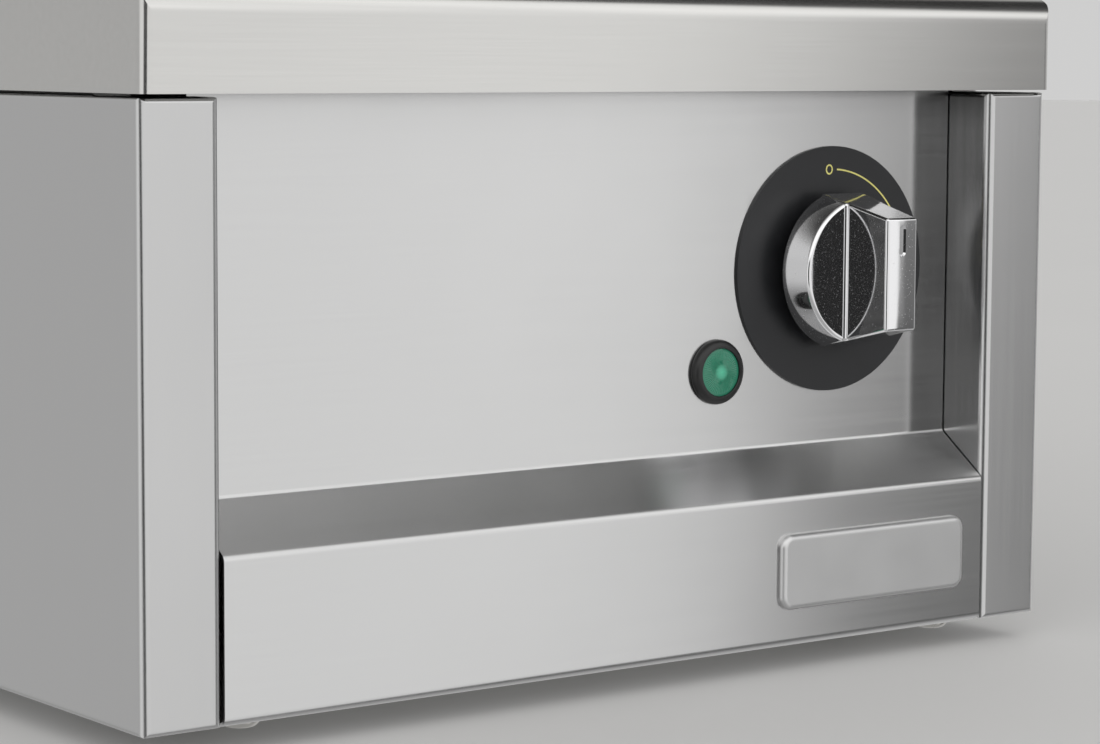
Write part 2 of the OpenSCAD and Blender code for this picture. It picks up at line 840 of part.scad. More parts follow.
// Rotary switch: mounting plate, stacked contact wafers and a threaded bush
module rotary_switch() {
    wafer_pitch = (switch_depth - switch_plate_t) / switch_wafers;
    groove = wafer_pitch / 5;
    core_w = switch_w - 2 * groove;
    bore_d = spindle_d + 2 * running_fit;
    color(black)
        on_panel(knob_x, knob_z)
            difference() {
                union() {
                    translate([0, 0, -sheet_t - switch_plate_t])
                        linear_extrude(switch_plate_t)
                            polygon(rounded_outline(centred(switch_w, switch_w), fold_r));
                    translate([0, 0, switch_back])
                        linear_extrude(switch_depth)
                            polygon(rounded_outline(centred(core_w, core_w), fold_r));
                    for (i = [0:switch_wafers - 1])
                        translate([0, 0, switch_back + i * wafer_pitch])
                            linear_extrude(wafer_pitch - groove)
                                polygon(rounded_outline(centred(switch_w, switch_w), fold_r));
                    translate([0, 0, -sheet_t - over]) cylinder(d = bush_d, h = sheet_t + over + bush_l);
                }
                translate([0, 0, -spindle_tail - seam])
                    cylinder(d = bore_d, h = spindle_tail + bush_l + over);
            }
}

module switch_nut() {
    color(bright)
        on_panel(knob_x, knob_z)
            translate([0, 0, dial_t]) nut(switch_nut_af, switch_nut_t, bush_d + 2 * push_fit);
}

// Spindle with the flat that drives the knob
module switch_spindle() {
    flat_l = spindle_l - insert_back;
    color(bright)
        on_panel(knob_x, knob_z)
            difference() {
                translate([0, 0, -spindle_tail]) cylinder(d = spindle_d, h = spindle_tail + spindle_l);
                translate([spindle_flat - spindle_d / 2, -spindle_d, spindle_l - flat_l])
                    cube([spindle_d, 2 * spindle_d, flat_l + over]);
            }
}

module knob_insert() {
    color(black)
        on_panel(knob_x, knob_z)
            difference() {
                translate([0, 0, insert_back]) cylinder(d = insert_d, h = insert_top - insert_back);
                translate([0, 0, insert_back - over])
                    cylinder(d = spindle_d + 2 * push_fit, h = spindle_l - insert_back + over + seam);
            }
}

// Block between the knob's two sloping end faces, as wide as given at its root and at its face
module knob_block(root_w, face_w) {
    hull() {
        translate([0, 0, knob_back])
            linear_extrude(skin) square([root_w, grip_root_l], center = true);
        translate([0, 0, knob_h - skin])
            linear_extrude(skin) square([face_w, grip_face_l], center = true);
    }
}

// Chromed knob: a tapered skirt crossed by a tapered grip with a crowned face
module control_knob() {
    cavity_top = knob_rim - knob_wall;
    back = [knob_d / 2, knob_back];
    rim = [knob_rim_d / 2, knob_rim];
    color(bright)
        on_panel(knob_x, knob_z)
            difference() {
                union() {
                    intersection() {
                        rotate_extrude($fn = round_fn)
                            polygon(concat(
                                [[0, knob_back], back],
                                corner_arc(back, rim, [0, knob_rim], knob_rim_r),
                                [[0, knob_rim]]
                            ));
                        knob_block(2 * knob_d, 2 * knob_d);
                    }
                    intersection() {
                        knob_block(grip_root_w, grip_face_w);
                        translate([0, 0, knob_h - grip_crown_r])
                            rotate([90, 0, 0]) cylinder(r = grip_crown_r, h = 2 * grip_root_l, center = true);
                    }
                }
                translate([0, 0, knob_back - over])
                    cylinder(d = knob_rim_d - 2 * knob_wall, h = cavity_top - knob_back + over);
                translate([0, 0, knob_back])
                    cylinder(d = insert_d + 2 * push_fit, h = insert_top + seam - knob_back);
                translate([0, grip_face_l / 2 - pointer_l / 2 - pointer_w, knob_h - pointer_depth])
                    linear_extrude(pointer_depth + over) slot(pointer_w, pointer_l);
            }
}

// Pilot lamp: bezel and barrel, domed lens, lock nut
module lamp_bezel() {
    r = lamp_flange_d / 2;
    lens_r = lens_d / 2 + push_fit;
    barrel_r = lamp_barrel_d / 2;
    shoulder = lamp_flange_h / 2;
    profile = concat(
        [
            [0, -sheet_t - lamp_barrel_l],
            [barrel_r, -sheet_t - lamp_barrel_l],
            [barrel_r, 0],
            [r, 0]
        ],
        corner_arc([r, 0], [r, lamp_flange_h], [lens_r, lamp_flange_h], shoulder),
        [
            [lens_r, lamp_flange_h],
            [lens_r, -lens_depth],
            [0, -lens_depth]
        ]
    );
    color(black) on_panel(lamp_x, lamp_z) rotate_extrude() polygon(profile);
}

module lamp_lens() {
    r = lens_d / 2;
    dome_r = (r * r + lens_rise * lens_rise) / (2 * lens_rise);
    rim_z = lamp_flange_h - lens_rise;
    color(lens_green)
        on_panel(lamp_x, lamp_z)
            intersection() {
                translate([0, 0, -lens_depth]) cylinder(r = r, h = lens_depth + lamp_flange_h);
                translate([0, 0, rim_z + lens_rise - dome_r]) sphere(r = dome_r);
            }
}

module lamp_nut() {
    color(black)
        on_panel(lamp_x, lamp_z)
            translate([0, 0, -sheet_t - lamp_nut_t])
                nut(lamp_nut_af, lamp_nut_t, lamp_barrel_d + 2 * push_fit);
}

// Terminal block: a row of poles with a screw well over each
module poles(count, pole_w, l, h) {
    well_d = pole_w / 2;
    rib_gap = pole_w / 6;
    rib_z = 0.7 * h;
    difference() {
        translate([-count * pole_w / 2, -l / 2, 0]) cube([count * pole_w, l, h]);
        for (i = [0:count - 1])
            for (s = [-1, 1])
                translate([(i - (count - 1) / 2) * pole_w, s * l / 4, h / 2]) cylinder(d = well_d, h = h);
        for (i = [1:count - 1])
            translate([(i - count / 2) * pole_w - rib_gap / 2, -l, rib_z]) cube([rib_gap, 2 * l, h]);
    }
}

module terminal_block() {
    color(ceramic)
        translate([gland_x, terminal_y, floor_z + sheet_t]) poles(4, terminal_pole, terminal_l, terminal_h);
}

// Cable gland: body through the rear panel, domed cap, lock nut
module gland_body() {
    color(black)
        on_rear(gland_x, gland_z)
            difference() {
                union() {
                    translate([0, 0, -sheet_t - gland_tail])
                        cylinder(d = gland_d, h = sheet_t + gland_tail + over);
                    cylinder(d = across_corners(gland_af), h = gland_hex_t, $fn = 6);
                    cylinder(d = gland_d - gland_step, h = gland_hex_t + gland_cap_l / 2);
                }
                translate([0, 0, -sheet_t - gland_tail - over])
                    cylinder(d = gland_bore, h = sheet_t + 2 * gland_tail + gland_hex_t + gland_cap_l);
            }
}

module gland_cap() {
    wall_r = gland_d / 2 - gland_step / 2 + push_fit;
    cap_r = gland_af / 2;
    mouth_r = gland_bore / 2;
    inner_top = gland_hex_t + gland_cap_l / 2 + seam;
    top = gland_hex_t + gland_cap_l;
    color(black)
        on_rear(gland_x, gland_z)
            rotate_extrude()
                polygon(concat(
                    [[wall_r, gland_hex_t], [cap_r, gland_hex_t]],
                    corner_arc([cap_r, gland_hex_t], [cap_r, top], [mouth_r, top], gland_cap_l / 2),
                    [[mouth_r, top], [mouth_r, inner_top], [wall_r, inner_top]]
                ));
}

module gland_nut() {
    color(black)
        on_rear(gland_x, gland_z)
            translate([0, 0, -sheet_t - gland_hex_t]) nut(gland_af, gland_hex_t, gland_d + 2 * push_fit);
}

// Bonding stud with a hexagonal collar outside and its nut inside
module bonding_stud() {
    collar_t = nut_t(stud_d);
    tail_l = sheet_t + nut_t(stud_tail_d) + over;
    color(brass)
        on_rear(stud_x, stud_z) {
            cylinder(d = across_corners(nut_af(stud_tail_d)), h = collar_t, $fn = 6);
            cylinder(d = stud_d, h = stud_l);
            translate([0, 0, -tail_l]) cylinder(d = stud_tail_d, h = tail_l + over);
        }
}

module bonding_nut() {
    t = nut_t(stud_tail_d);
    color(brass)
        on_rear(stud_x, stud_z)
            translate([0, 0, -sheet_t - t]) nut(nut_af(stud_tail_d), t, stud_tail_d + 2 * push_fit);
}

// Rubber foot with a recess for its screw
module foot(i) {
    p = foot_places()[i];
    bore_r = screw_d / 2 + hole_fit;
    recess_r = head_d(screw_d) / 2 + over;
    color(black)
        translate([p.x, p.y, 0])
            rotate_extrude()
                polygon([
                    [recess_r, 0], [foot_floor_d / 2, 0], [foot_d / 2, floor_z], [bore_r, floor_z],
                    [bore_r, floor_z - foot_seat], [recess_r, floor_z - foot_seat]
                ]);
}

module foot_screws() {
    color(bright)
        for (p = foot_places())
            translate([p.x, p.y, floor_z - foot_seat])
                rotate([180, 0, 0]) screw(screw_d, foot_seat + sheet_t + past_nut(screw_d));
}

module foot_nuts() {
    color(bright)
        for (p = foot_places())
            translate([p.x, p.y, floor_z + sheet_t])
                nut(nut_af(screw_d), nut_t(screw_d), screw_d + 2 * push_fit);
}

// Round lead that follows a smooth curve through the points p
function curve_point(a, b, c, d, t) =
    0.5 * (2 * b + (c - a) * t + (2 * a - 5 * b + 4 * c - d) * t * t + (3 * b - a - 3 * c + d) * t * t * t);
function smooth_route(p) =
    let (n = len(p))
    [
        for (i = [0:n - 2])
            for (j = [0:lead_steps - 1])
                curve_point(p[max(i - 1, 0)], p[i], p[i + 1], p[min(i + 2, n - 1)], j / lead_steps),
        p[n - 1]
    ];
function heading(p, i) = unit(p[min(i + 1, len(p) - 1)] - p[max(i - 1, 0)]);
function carried(p, n, i = 0) =
    let (h = heading(p, i), m = unit(n - (n * h) * h))
    i == len(p) - 1 ? [m] : concat([m], carried(p, m, i + 1));

module lead(points, d) {
    p = smooth_route(points);
    n = len(p);
    s = lead_sides;
    sides = carried(p, lead_side);
    rings = [
        for (i = [0:n - 1])
            for (k = [0:s - 1])
                let (a = 360 * k / s)
                p[i] + d / 2 * (cos(a) * sides[i] + sin(a) * cross(heading(p, i), sides[i]))
    ];
    walls = [
        for (i = [0:n - 2])
            for (k = [0:s - 1])
                each [
                    [i * s + k, (i + 1) * s + k, i * s + (k + 1) % s],
                    [i * s + (k + 1) % s, (i + 1) * s + k, (i + 1) * s + (k + 1) % s]
                ]
    ];
    first_cap = [for (k = [0:s - 1]) k];
    last_cap = [for (k = [s - 1:-1:0]) (n - 1) * s + k];
    polyhedron(rings, concat(walls, [first_cap, last_cap]));
}

module switch_lead() {
    x = gland_x + terminal_pole / 2;
    bend = lead_bend;
    end_z = base_z + knob_z - switch_w / 2 - seam;
    color(black)
        lead([
            [x, lead_start_y, lead_floor_z],
            [x, lead_start_y - bend, lead_floor_z],
            [x, 0, lead_floor_z],
            [x + bend, lead_post_y + bend, lead_floor_z],
            [x + 3 * bend, lead_post_y, lead_floor_z],
            [knob_x - 3 * bend, lead_post_y, lead_floor_z],
            [knob_x - bend / 2, lead_post_y, lead_floor_z + bend / 2],
            [knob_x, lead_post_y, lead_floor_z + 2 * bend],
            [knob_x, lead_post_y, end_z - bend / 2],
            [knob_x, lead_post_y, end_z]
        ], lead_d);
}

module lamp_lead() {
    d = lamp_lead_d;
    start_y = panel_y + sheet_t + lamp_barrel_l + seam;
    start_z = base_z + lamp_z;
    end_x = knob_x - switch_w / 2 - seam;
    end_y = lead_post_y + d;
    end_z = base_z + knob_z;
    color(black)
        lead([
            [lamp_x, start_y, start_z],
            [lamp_x, start_y + d, start_z],
            [lamp_x, start_y + 2 * d, start_z],
            [(lamp_x + end_x) / 2, start_y + 2 * d, (start_z + end_z) / 2],
            [end_x - 2 * d, end_y, end_z],
            [end_x - d, end_y, end_z],
            [end_x, end_y, end_z]
        ], d);
}

module heater_lead() {
    x = gland_x + 1.5 * terminal_pole;
    start_z = floor_z + sheet_t + terminal_h + seam;
    end_y = heater_block_y + heater_block_l / 2 + seam;
    end_z = reflector_z + sheet_t + heater_block_h / 2;
    run = lead_straight;
    rise = 4 * run;
    color(black)
        lead([
            [x, terminal_y, start_z],
            [x, terminal_y, start_z + run],
            [x, terminal_y, start_z + 2 * run],
            [x / 2, (terminal_y + upright_mid_y) / 2, start_z + rise],
            [0, upright_mid_y, start_z + 2 * rise],
            [0, upright_mid_y, top_z],
            [0, upright_mid_y, (top_z + canopy_z) / 2],
            [0, upright_mid_y, canopy_z],
            [0, upright_mid_y - run / 2, end_z - run],
            [0, end_y + 2 * run, end_z],
            [0, end_y + run, end_z],
            [0, end_y, end_z]
        ], lead_d);
}

// Lift-out pan: drafted walls, rounded corners and a rounded base
module pan_slab(inset, z) {
    translate([0, pan_y, z])
        linear_extrude(skin)
            polygon(rounded_outline(
                centred(pan_body_w - 2 * inset, pan_body_l - 2 * inset), pan_corner - inset
            ));
}

module pan_form(inset, base, top) {
    r = pan_base_r - inset;
    hull() {
        pan_slab(inset, top);
        for (a = [0:90 / base_steps:90])
            pan_slab(inset + pan_draft + r * (1 - sin(a)), base + r * (1 - cos(a)));
    }
}

module chip_pan() {
    color(bright)
        difference() {
            union() {
                pan_form(0, pan_floor_z - pan_t, pan_top_z - pan_t / 2);
                translate([0, pan_y, 0])
                    upwards(pan_top_z - pan_t, pan_top_z)
                        polygon(rounded_outline(centred(pan_w, pan_l), pan_corner + pan_rim));
            }
            pan_form(pan_t, pan_floor_z, pan_top_z + over);
        }
}

// Perforated drain plate on two legs
module drain_plate() {
    w = pan_body_w - 2 * (pan_draft + pan_t + drain_fit);
    l = pan_body_l - 2 * (pan_draft + pan_t + drain_fit);
    r = pan_corner - pan_draft;
    plate_z = pan_floor_z + drain_h;
    columns = floor((w / 2 - drain_pitch / 2) / drain_pitch);
    finger_y = l / 2 - finger_d;
    rows = floor((finger_y - finger_d / 2 - drain_hole_d) / drain_pitch);
    leg_x = (columns - 1.5) * drain_pitch;
    color(bright)
        translate([0, pan_y, 0]) {
            upwards(plate_z, plate_z + drain_t)
                difference() {
                    polygon(rounded_outline(centred(w, l), r));
                    for (i = [-columns:columns])
                        for (j = [-rows:rows])
                            translate([i * drain_pitch, j * drain_pitch]) circle(d = drain_hole_d);
                    for (s = [-1, 1])
                        translate([0, s * finger_y]) circle(d = finger_d);
                }
            for (s = [-1, 1])
                translate([s * leg_x - drain_t / 2, -l / 2 + 2 * r, pan_floor_z + seam])
                    cube([drain_t, l - 4 * r, plate_z - pan_floor_z]);
        }
}

// Upright: a folded channel welded to its foot plate
module upright() {
    x = upright_w / 2;
    plan = [
        [flange_w - x, upright_rear_y],
        [-x, upright_rear_y],
        [-x, upright_y],
        [x, upright_y],
        [x, upright_rear_y],
        [x - flange_w, upright_rear_y]
    ];
    color(steel)
        difference() {
            union() {
                upwards(top_z, cover_top_z) folded_sheet(plan);
                upwards(top_z, top_z + foot_plate_t)
                    polygon(rounded_outline(rect(-x, upright_y, x, upright_rear_y), outer_r));
            }
            translate([0, upright_mid_y, top_z]) hole(cable_hole_d);
            for (p = upright_bolt_places())
                translate([p.x, p.y, top_z]) hole(upright_bolt_d + 2 * hole_fit);
            for (p = canopy_screw_places())
                translate([0, p.x, p.y])
                    rotate([0, 90, 0]) hole(small_screw_d + 2 * hole_fit, canopy_w);
            for (p = cover_screw_places())
                translate([p.x, upright_rear_y, p.y])
                    rotate([90, 0, 0]) hole(small_screw_d + 2 * hole_fit);
            translate([0, upright_y, reflector_z + sheet_t + heater_block_h / 2])
                rotate([90, 0, 0]) hole(lead_hole_d);
        }
}

module upright_cover() {
    x = upright_w / 2 - outer_r;
    color(steel)
        difference() {
            across(-x, x)
                polygon(rect(upright_rear_y, top_z + seam, upright_rear_y + sheet_t, cover_top_z));
            for (p = cover_screw_places())
                translate([p.x, upright_rear_y, p.y])
                    rotate([90, 0, 0]) hole(small_screw_d + 2 * hole_fit);
        }
}

module cover_screws() {
    color(bright)
        for (p = cover_screw_places())
            translate([p.x, upright_rear_y + sheet_t, p.y])
                rotate([-90, 0, 0]) screw(small_screw_d, tapping_l(small_screw_d));
}

module upright_bolts() {
    l = foot_plate_t + worktop_t + backing_t + past_nut(upright_bolt_d);
    color(bright)
        for (p = upright_bolt_places())
            translate([p.x, p.y, top_z + foot_plate_t]) {
                translate([0, 0, -l]) cylinder(d = upright_bolt_d, h = l + over);
                cylinder(d = across_corners(nut_af(upright_bolt_d)), h = nut_t(upright_bolt_d), $fn = 6);
            }
}

module upright_nuts() {
    t = nut_t(upright_bolt_d);
    color(bright)
        for (p = upright_bolt_places())
            translate([p.x, p.y, rail_top_z - backing_t - t])
                nut(nut_af(upright_bolt_d), t, upright_bolt_d + 2 * push_fit);
}

// Stiffening plate under the worktop
module backing_plate() {
    half_l = rear_rail_y - seam - upright_mid_y;
    half_w = upright_w / 2 - flange_w;
    color(dark_steel)
        difference() {
            upwards(rail_top_z - backing_t, rail_top_z)
                polygon(rect(-half_w, upright_mid_y - half_l, half_w, upright_mid_y + half_l));
            translate([0, upright_mid_y, rail_top_z]) hole(cable_hole_d);
            for (p = upright_bolt_places())
                translate([p.x, p.y, rail_top_z]) hole(upright_bolt_d + 2 * hole_fit);
        }
}

// Canopy: a folded wrapper closed by two welded end plates, with a lip around its open underside
module canopy() {
    wrapper = [
        [canopy_rear_y, canopy_z],
        [canopy_rear_y, canopy_top_z],
        [canopy_y + canopy_slope, canopy_top_z],
        [canopy_y, canopy_z + canopy_edge],
        [canopy_y, canopy_z],
        [canopy_y + canopy_lip, canopy_z]
    ];
    end_plate = folded_face(
        [
            [canopy_rear_y, canopy_z],
            [canopy_rear_y, canopy_top_z],
            [canopy_y + canopy_slope, canopy_top_z],
            [canopy_y, canopy_z + canopy_edge],
            [canopy_y, canopy_z],
            [canopy_rear_y - outer_r, canopy_z]
        ],
        outer_r, outer_r
    );
    color(steel)
        difference() {
            union() {
                across(-canopy_w / 2, canopy_w / 2) folded_sheet(wrapper);
                for (s = [0, 1])
                    mirror([s, 0, 0]) {
                        across(canopy_in_x, canopy_w / 2) polygon(end_plate);
                        upwards(canopy_z, canopy_z + sheet_t)
                            polygon(rect(
                                canopy_in_x - canopy_lip, canopy_y + outer_r,
                                canopy_in_x + sheet_t / 2, upright_y - seam
                            ));
                    }
            }
            for (p = canopy_screw_places())
                translate([0, p.x, p.y])
                    rotate([0, 90, 0]) hole(small_screw_d + 2 * hole_fit, canopy_w);
        }
}

module canopy_screws() {
    color(bright)
        for (s = [0, 1])
            mirror([s, 0, 0])
                for (p = canopy_screw_places())
                    translate([canopy_w / 2, p.x, p.y])
                        rotate([0, 90, 0]) screw(small_screw_d, tapping_l(small_screw_d));
}

// Reflector with a slot for each emitter's boss and end flanges against the canopy
module reflector() {
    low_z = canopy_z + sheet_t + reflector_lift;
    profile = [
        [reflector_y, low_z],
        [reflector_y + reflector_slope, reflector_z],
        [reflector_rear_y - reflector_slope, reflector_z],
        [reflector_rear_y, low_z]
    ];
    end_flange = rect(
        reflector_y + 2 * reflector_slope, reflector_z,
        reflector_rear_y - 2 * reflector_slope, canopy_top_z - sheet_t - seam
    );
    color(bright)
        difference() {
            union() {
                across(-canopy_in_x, canopy_in_x) folded_sheet(profile);
                for (s = [0, 1])
                    mirror([s, 0, 0]) across(canopy_in_x - sheet_t, canopy_in_x) polygon(end_flange);
            }
            for (s = [-1, 1])
                translate([0, emitter_mid_y + s * emitter_pitch / 2, reflector_z])
                    cube([boss_l + 2 * seam, boss_w + 2 * seam, 4 * sheet_t], center = true);
        }
}

// Ceramic trough emitter with its holding boss
module emitter(y) {
    half = asin(emitter_w / 2 / emitter_r);
    crown_z = reflector_z - emitter_gap;
    inner_r = emitter_r - emitter_t;
    arc = [for (i = [-wide_steps:wide_steps]) half * i / wide_steps];
    trough = concat(
        [for (a = arc) emitter_r * [sin(a), cos(a)]],
        [for (a = reversed(arc)) inner_r * [sin(a), cos(a)]]
    );
    color(ceramic) {
        translate([0, y, crown_z - emitter_r]) across(-emitter_l / 2, emitter_l / 2) polygon(trough);
        translate([-boss_l / 2, y - boss_w / 2, crown_z - emitter_t / 2])
            cube([boss_l, boss_w, emitter_t / 2 + emitter_gap + sheet_t + boss_h]);
    }
}

module emitter_front() {
    emitter(emitter_mid_y - emitter_pitch / 2);
}

module emitter_rear() {
    emitter(emitter_mid_y + emitter_pitch / 2);
}

// Spring clips that hold the bosses above the reflector
module emitter_clips() {
    color(bright)
        for (s = [-1, 1])
            translate([0, emitter_mid_y + s * emitter_pitch / 2, reflector_z + sheet_t])
                linear_extrude(clip_t)
                    difference() {
                        polygon(rounded_outline(
                            centred(boss_l + 2 * clip_margin, boss_w + 2 * clip_margin), fold_r
                        ));
                        polygon(centred(boss_l + 2 * push_fit, boss_w + 2 * push_fit));
                    }
}

module heater_terminal_block() {
    color(ceramic)
        translate([0, heater_block_y, reflector_z + sheet_t])
            poles(3, heater_pole, heater_block_l, heater_block_h);
}

// Wire guard that lies on the canopy's lip: two side rods with cross rods welded on top
module wire_guard() {
    x = canopy_in_x - seam - guard_side_d / 2;
    y0 = canopy_y + outer_r + seam;
    y1 = upright_y - seam;
    side_z = canopy_z + sheet_t + guard_side_d / 2;
    rod_z = side_z + guard_side_d / 2 + guard_rod_d / 2 - guard_weld;
    margin = guard_side_d;
    pitch = (y1 - y0 - 2 * margin) / (guard_rods - 1);
    color(bright) {
        for (s = [-1, 1])
            translate([s * x, y0, side_z]) rotate([-90, 0, 0]) cylinder(d = guard_side_d, h = y1 - y0);
        for (i = [0:guard_rods - 1])
            translate([0, y0 + margin + i * pitch, rod_z])
                rotate([0, 90, 0]) cylinder(d = guard_rod_d, h = 2 * x + guard_side_d, center = true);
    }
}

left_side_panel();
right_side_panel();
base_pan();
rear_panel();
rear_panel_screws();
front_top_rail();
rear_top_rail();
left_top_rail();
right_top_rail();
worktop();
front_panel();
fascia_screws();
fascia_nuts();
badge_plate();
dial_plate();
rotary_switch();
switch_nut();
switch_spindle();
knob_insert();
control_knob();
lamp_bezel();
lamp_lens();
lamp_nut();
terminal_block();
gland_body();
gland_cap();
gland_nut();
bonding_stud();
bonding_nut();
foot(0);  // foot_front_left
foot(1);  // foot_front_right
foot(2);  // foot_rear_left
foot(3);  // foot_rear_right
foot_screws();
foot_nuts();
switch_lead();
lamp_lead();
heater_lead();
chip_pan();
drain_plate();
upright();
upright_cover();
cover_screws();
upright_bolts();
upright_nuts();
backing_plate();
canopy();
canopy_screws();
reflector();
emitter_front();
emitter_rear();
emitter_clips();
heater_terminal_block();
wire_guard();
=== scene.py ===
"""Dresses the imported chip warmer: finishes, close-up pieces, light, floor and camera. Lengths are metres."""
import math

import bmesh
import bpy
from mathutils import Matrix, Vector


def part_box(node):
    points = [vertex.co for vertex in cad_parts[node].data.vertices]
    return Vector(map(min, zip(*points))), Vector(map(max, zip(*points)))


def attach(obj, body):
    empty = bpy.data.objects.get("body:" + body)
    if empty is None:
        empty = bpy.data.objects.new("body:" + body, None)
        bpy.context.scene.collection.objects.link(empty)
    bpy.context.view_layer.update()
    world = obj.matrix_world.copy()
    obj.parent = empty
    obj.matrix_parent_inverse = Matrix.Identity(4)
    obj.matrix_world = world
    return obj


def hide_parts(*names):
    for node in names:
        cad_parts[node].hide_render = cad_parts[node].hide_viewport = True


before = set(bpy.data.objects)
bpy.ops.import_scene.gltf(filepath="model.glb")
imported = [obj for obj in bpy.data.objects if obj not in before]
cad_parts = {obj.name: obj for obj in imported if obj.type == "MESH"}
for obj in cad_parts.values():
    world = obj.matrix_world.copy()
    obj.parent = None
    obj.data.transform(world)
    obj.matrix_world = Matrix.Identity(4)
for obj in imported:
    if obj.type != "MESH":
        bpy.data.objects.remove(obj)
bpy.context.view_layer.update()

# Camera, in the photograph's view
SENSOR_MM = 36.0
LENS_MM = 103.576
CAMERA_AT = (-0.69148, -1.16382, 0.22858)
CAMERA_YAW = math.radians(37.0683)
CAMERA_PITCH = math.radians(5.8263)
CAMERA_ROLL = math.radians(0.3137)

# Studio: a bright surround that the steel mirrors, dimmer towards the back. Each stretch of it has four
# azimuth edges, in degrees right of the front, four heights in degrees, and its own light
SURROUND_LIGHT = 0.95
SURROUND_COLOUR = (1.0, 0.998, 0.994, 1.0)
BACK_LIGHT = 0.56
BACK_FROM = (-0.1, 0.3)
STRETCHES = {
    "low": ((-300.0, -200.0, 200.0, 300.0), (-300.0, -200.0, -32.0, -10.0), 0.42),
    "top": ((-300.0, -200.0, 200.0, 300.0), (58.0, 78.0, 200.0, 300.0), 0.50),
    "high_front": ((-75.0, -45.0, 45.0, 75.0), (8.0, 18.0, 42.0, 62.0), 1.30),
    "window": ((30.0, 37.5, 41.0, 42.4), (-40.0, -30.0, 60.0, 75.0), 1.05),
    "front_low": ((15.0, 28.0, 42.8, 46.0), (-60.0, -40.0, -14.0, -7.0), 0.90),
    "far_right": ((62.0, 85.0, 135.0, 160.0), (-60.0, -40.0, 50.0, 75.0), 0.62),
    "right": ((42.8, 46.0, 64.0, 88.0), (-60.0, -40.0, 12.0, 22.0), 0.33),
    "right_low": ((40.6, 42.2, 52.0, 64.0), (-60.0, -40.0, -7.0, 2.0), 0.13),
    "right_side": ((54.0, 62.0, 100.0, 115.0), (24.0, 33.0, 48.0, 70.0), 0.03),
    "viewer": ((-60.0, -53.0, -28.0, -23.0), (-20.0, -13.0, 6.0, 14.0), 0.030),
}
FLOOR_RADIUS = 14.0
FLOOR_SIDES = 96
FLOOR_COLOUR = (0.76, 0.755, 0.745)

# Shading of the folded sheets
WELD_GAP = 0.00001
SMOOTH_ANGLE = math.radians(32.0)


def add(tree, kind, inputs=(), **settings):
    """A node of one kind, with its settings, and its inputs given as values or as sockets to link."""
    node = tree.nodes.new(kind)
    for key, value in settings.items():
        setattr(node, key, value)
    for key, value in dict(inputs).items():
        if isinstance(value, bpy.types.NodeSocket):
            tree.links.new(value, node.inputs[key])
        else:
            node.inputs[key].default_value = value
    return node


def calculate(tree, operation, first, second=0.0):
    return add(tree, "ShaderNodeMath", {0: first, 1: second}, operation=operation).outputs[0]


def average(tree, first, second):
    return calculate(tree, "MULTIPLY", calculate(tree, "ADD", first, second), 0.5)


def remap(tree, value, low, high, to_low=0.0, to_high=1.0, smooth=False):
    """The value's range from low to high, carried to another range and held at its ends."""
    kind = "SMOOTHSTEP" if smooth else "LINEAR"
    places = {"Value": value, "From Min": low, "From Max": high, "To Min": to_low, "To Max": to_high}
    return add(tree, "ShaderNodeMapRange", places, interpolation_type=kind).outputs["Result"]


def noise(tree, scale, detail=2.0, roughness=0.5):
    """Object-space noise; the scale is counts per metre along X, Y and Z."""
    place = add(tree, "ShaderNodeTexCoord").outputs["Object"]
    stretched = add(tree, "ShaderNodeMapping", {"Vector": place, "Scale": scale}).outputs["Vector"]
    inputs = {"Vector": stretched, "Scale": 1.0, "Detail": detail, "Roughness": roughness}
    return add(tree, "ShaderNodeTexNoise", inputs).outputs["Fac"]


# Most values of a noise lie between these two
NOISE_SPAN = (0.3, 0.7)


def tones(tree, factor, dark, light, span=NOISE_SPAN):
    """A two-tone ramp of a factor over a span of its values."""
    ramp = add(tree, "ShaderNodeValToRGB", {"Fac": factor})
    for stop, place, colour in zip(ramp.color_ramp.elements, span, (dark, light)):
        stop.position = place
        stop.color = (*colour, 1.0)
    return ramp.outputs["Color"]


def bump(tree, height, depth):
    return add(tree, "ShaderNodeBump", {"Height": height, "Distance": depth, "Strength": 1.0}).outputs[0]


def material_base(name):
    """A new material, its tree and its shader."""
    material = bpy.data.materials.new(name)
    material.use_nodes = True
    tree = material.node_tree
    return material, tree, tree.nodes["Principled BSDF"]


def link(tree, shader, **sockets):
    """Links values worked out by nodes to the shader's sockets."""
    for key, value in sockets.items():
        tree.links.new(value, shader.inputs[key.replace("_", " ")])


def shifted_tone(colour, factor):
    return tuple(min(channel * factor, 1.0) for channel in colour)


def mottled(tree, factor, colour, contrast):
    """A colour that a factor makes a little darker and lighter."""
    return tones(tree, factor, shifted_tone(colour, 1.0 - contrast), shifted_tone(colour, 1.0 + contrast))


# Counts per metre along and across the brushing of a steel sheet
GRAIN_ALONG = 22.0
GRAIN_ACROSS = 2600.0
STREAK_ALONG = 6.0
STREAK_ACROSS = 420.0
SMUDGE_COUNT = 16.0
SMUDGE_DETAIL = 4.0
SMUDGE_ROUGHNESS = 0.6
FINE_DETAIL = 3.0
# Spread of a brushed sheet's roughness, and the least roughness of the other surfaces
BRUSHED_SPREAD = 0.02
LEAST_ROUGHNESS = 0.02
# Upward faces, by the height of their normal, are worn duller
WORN_FROM = (0.3, 0.7)
# Grains across one patch of tone on metal and on moulded surfaces
METAL_PATCH = 40.0
MOULDED_PATCH = 30.0


def grain_scale(grain, along, across):
    return tuple(along if axis == grain else across for axis in "XYZ")


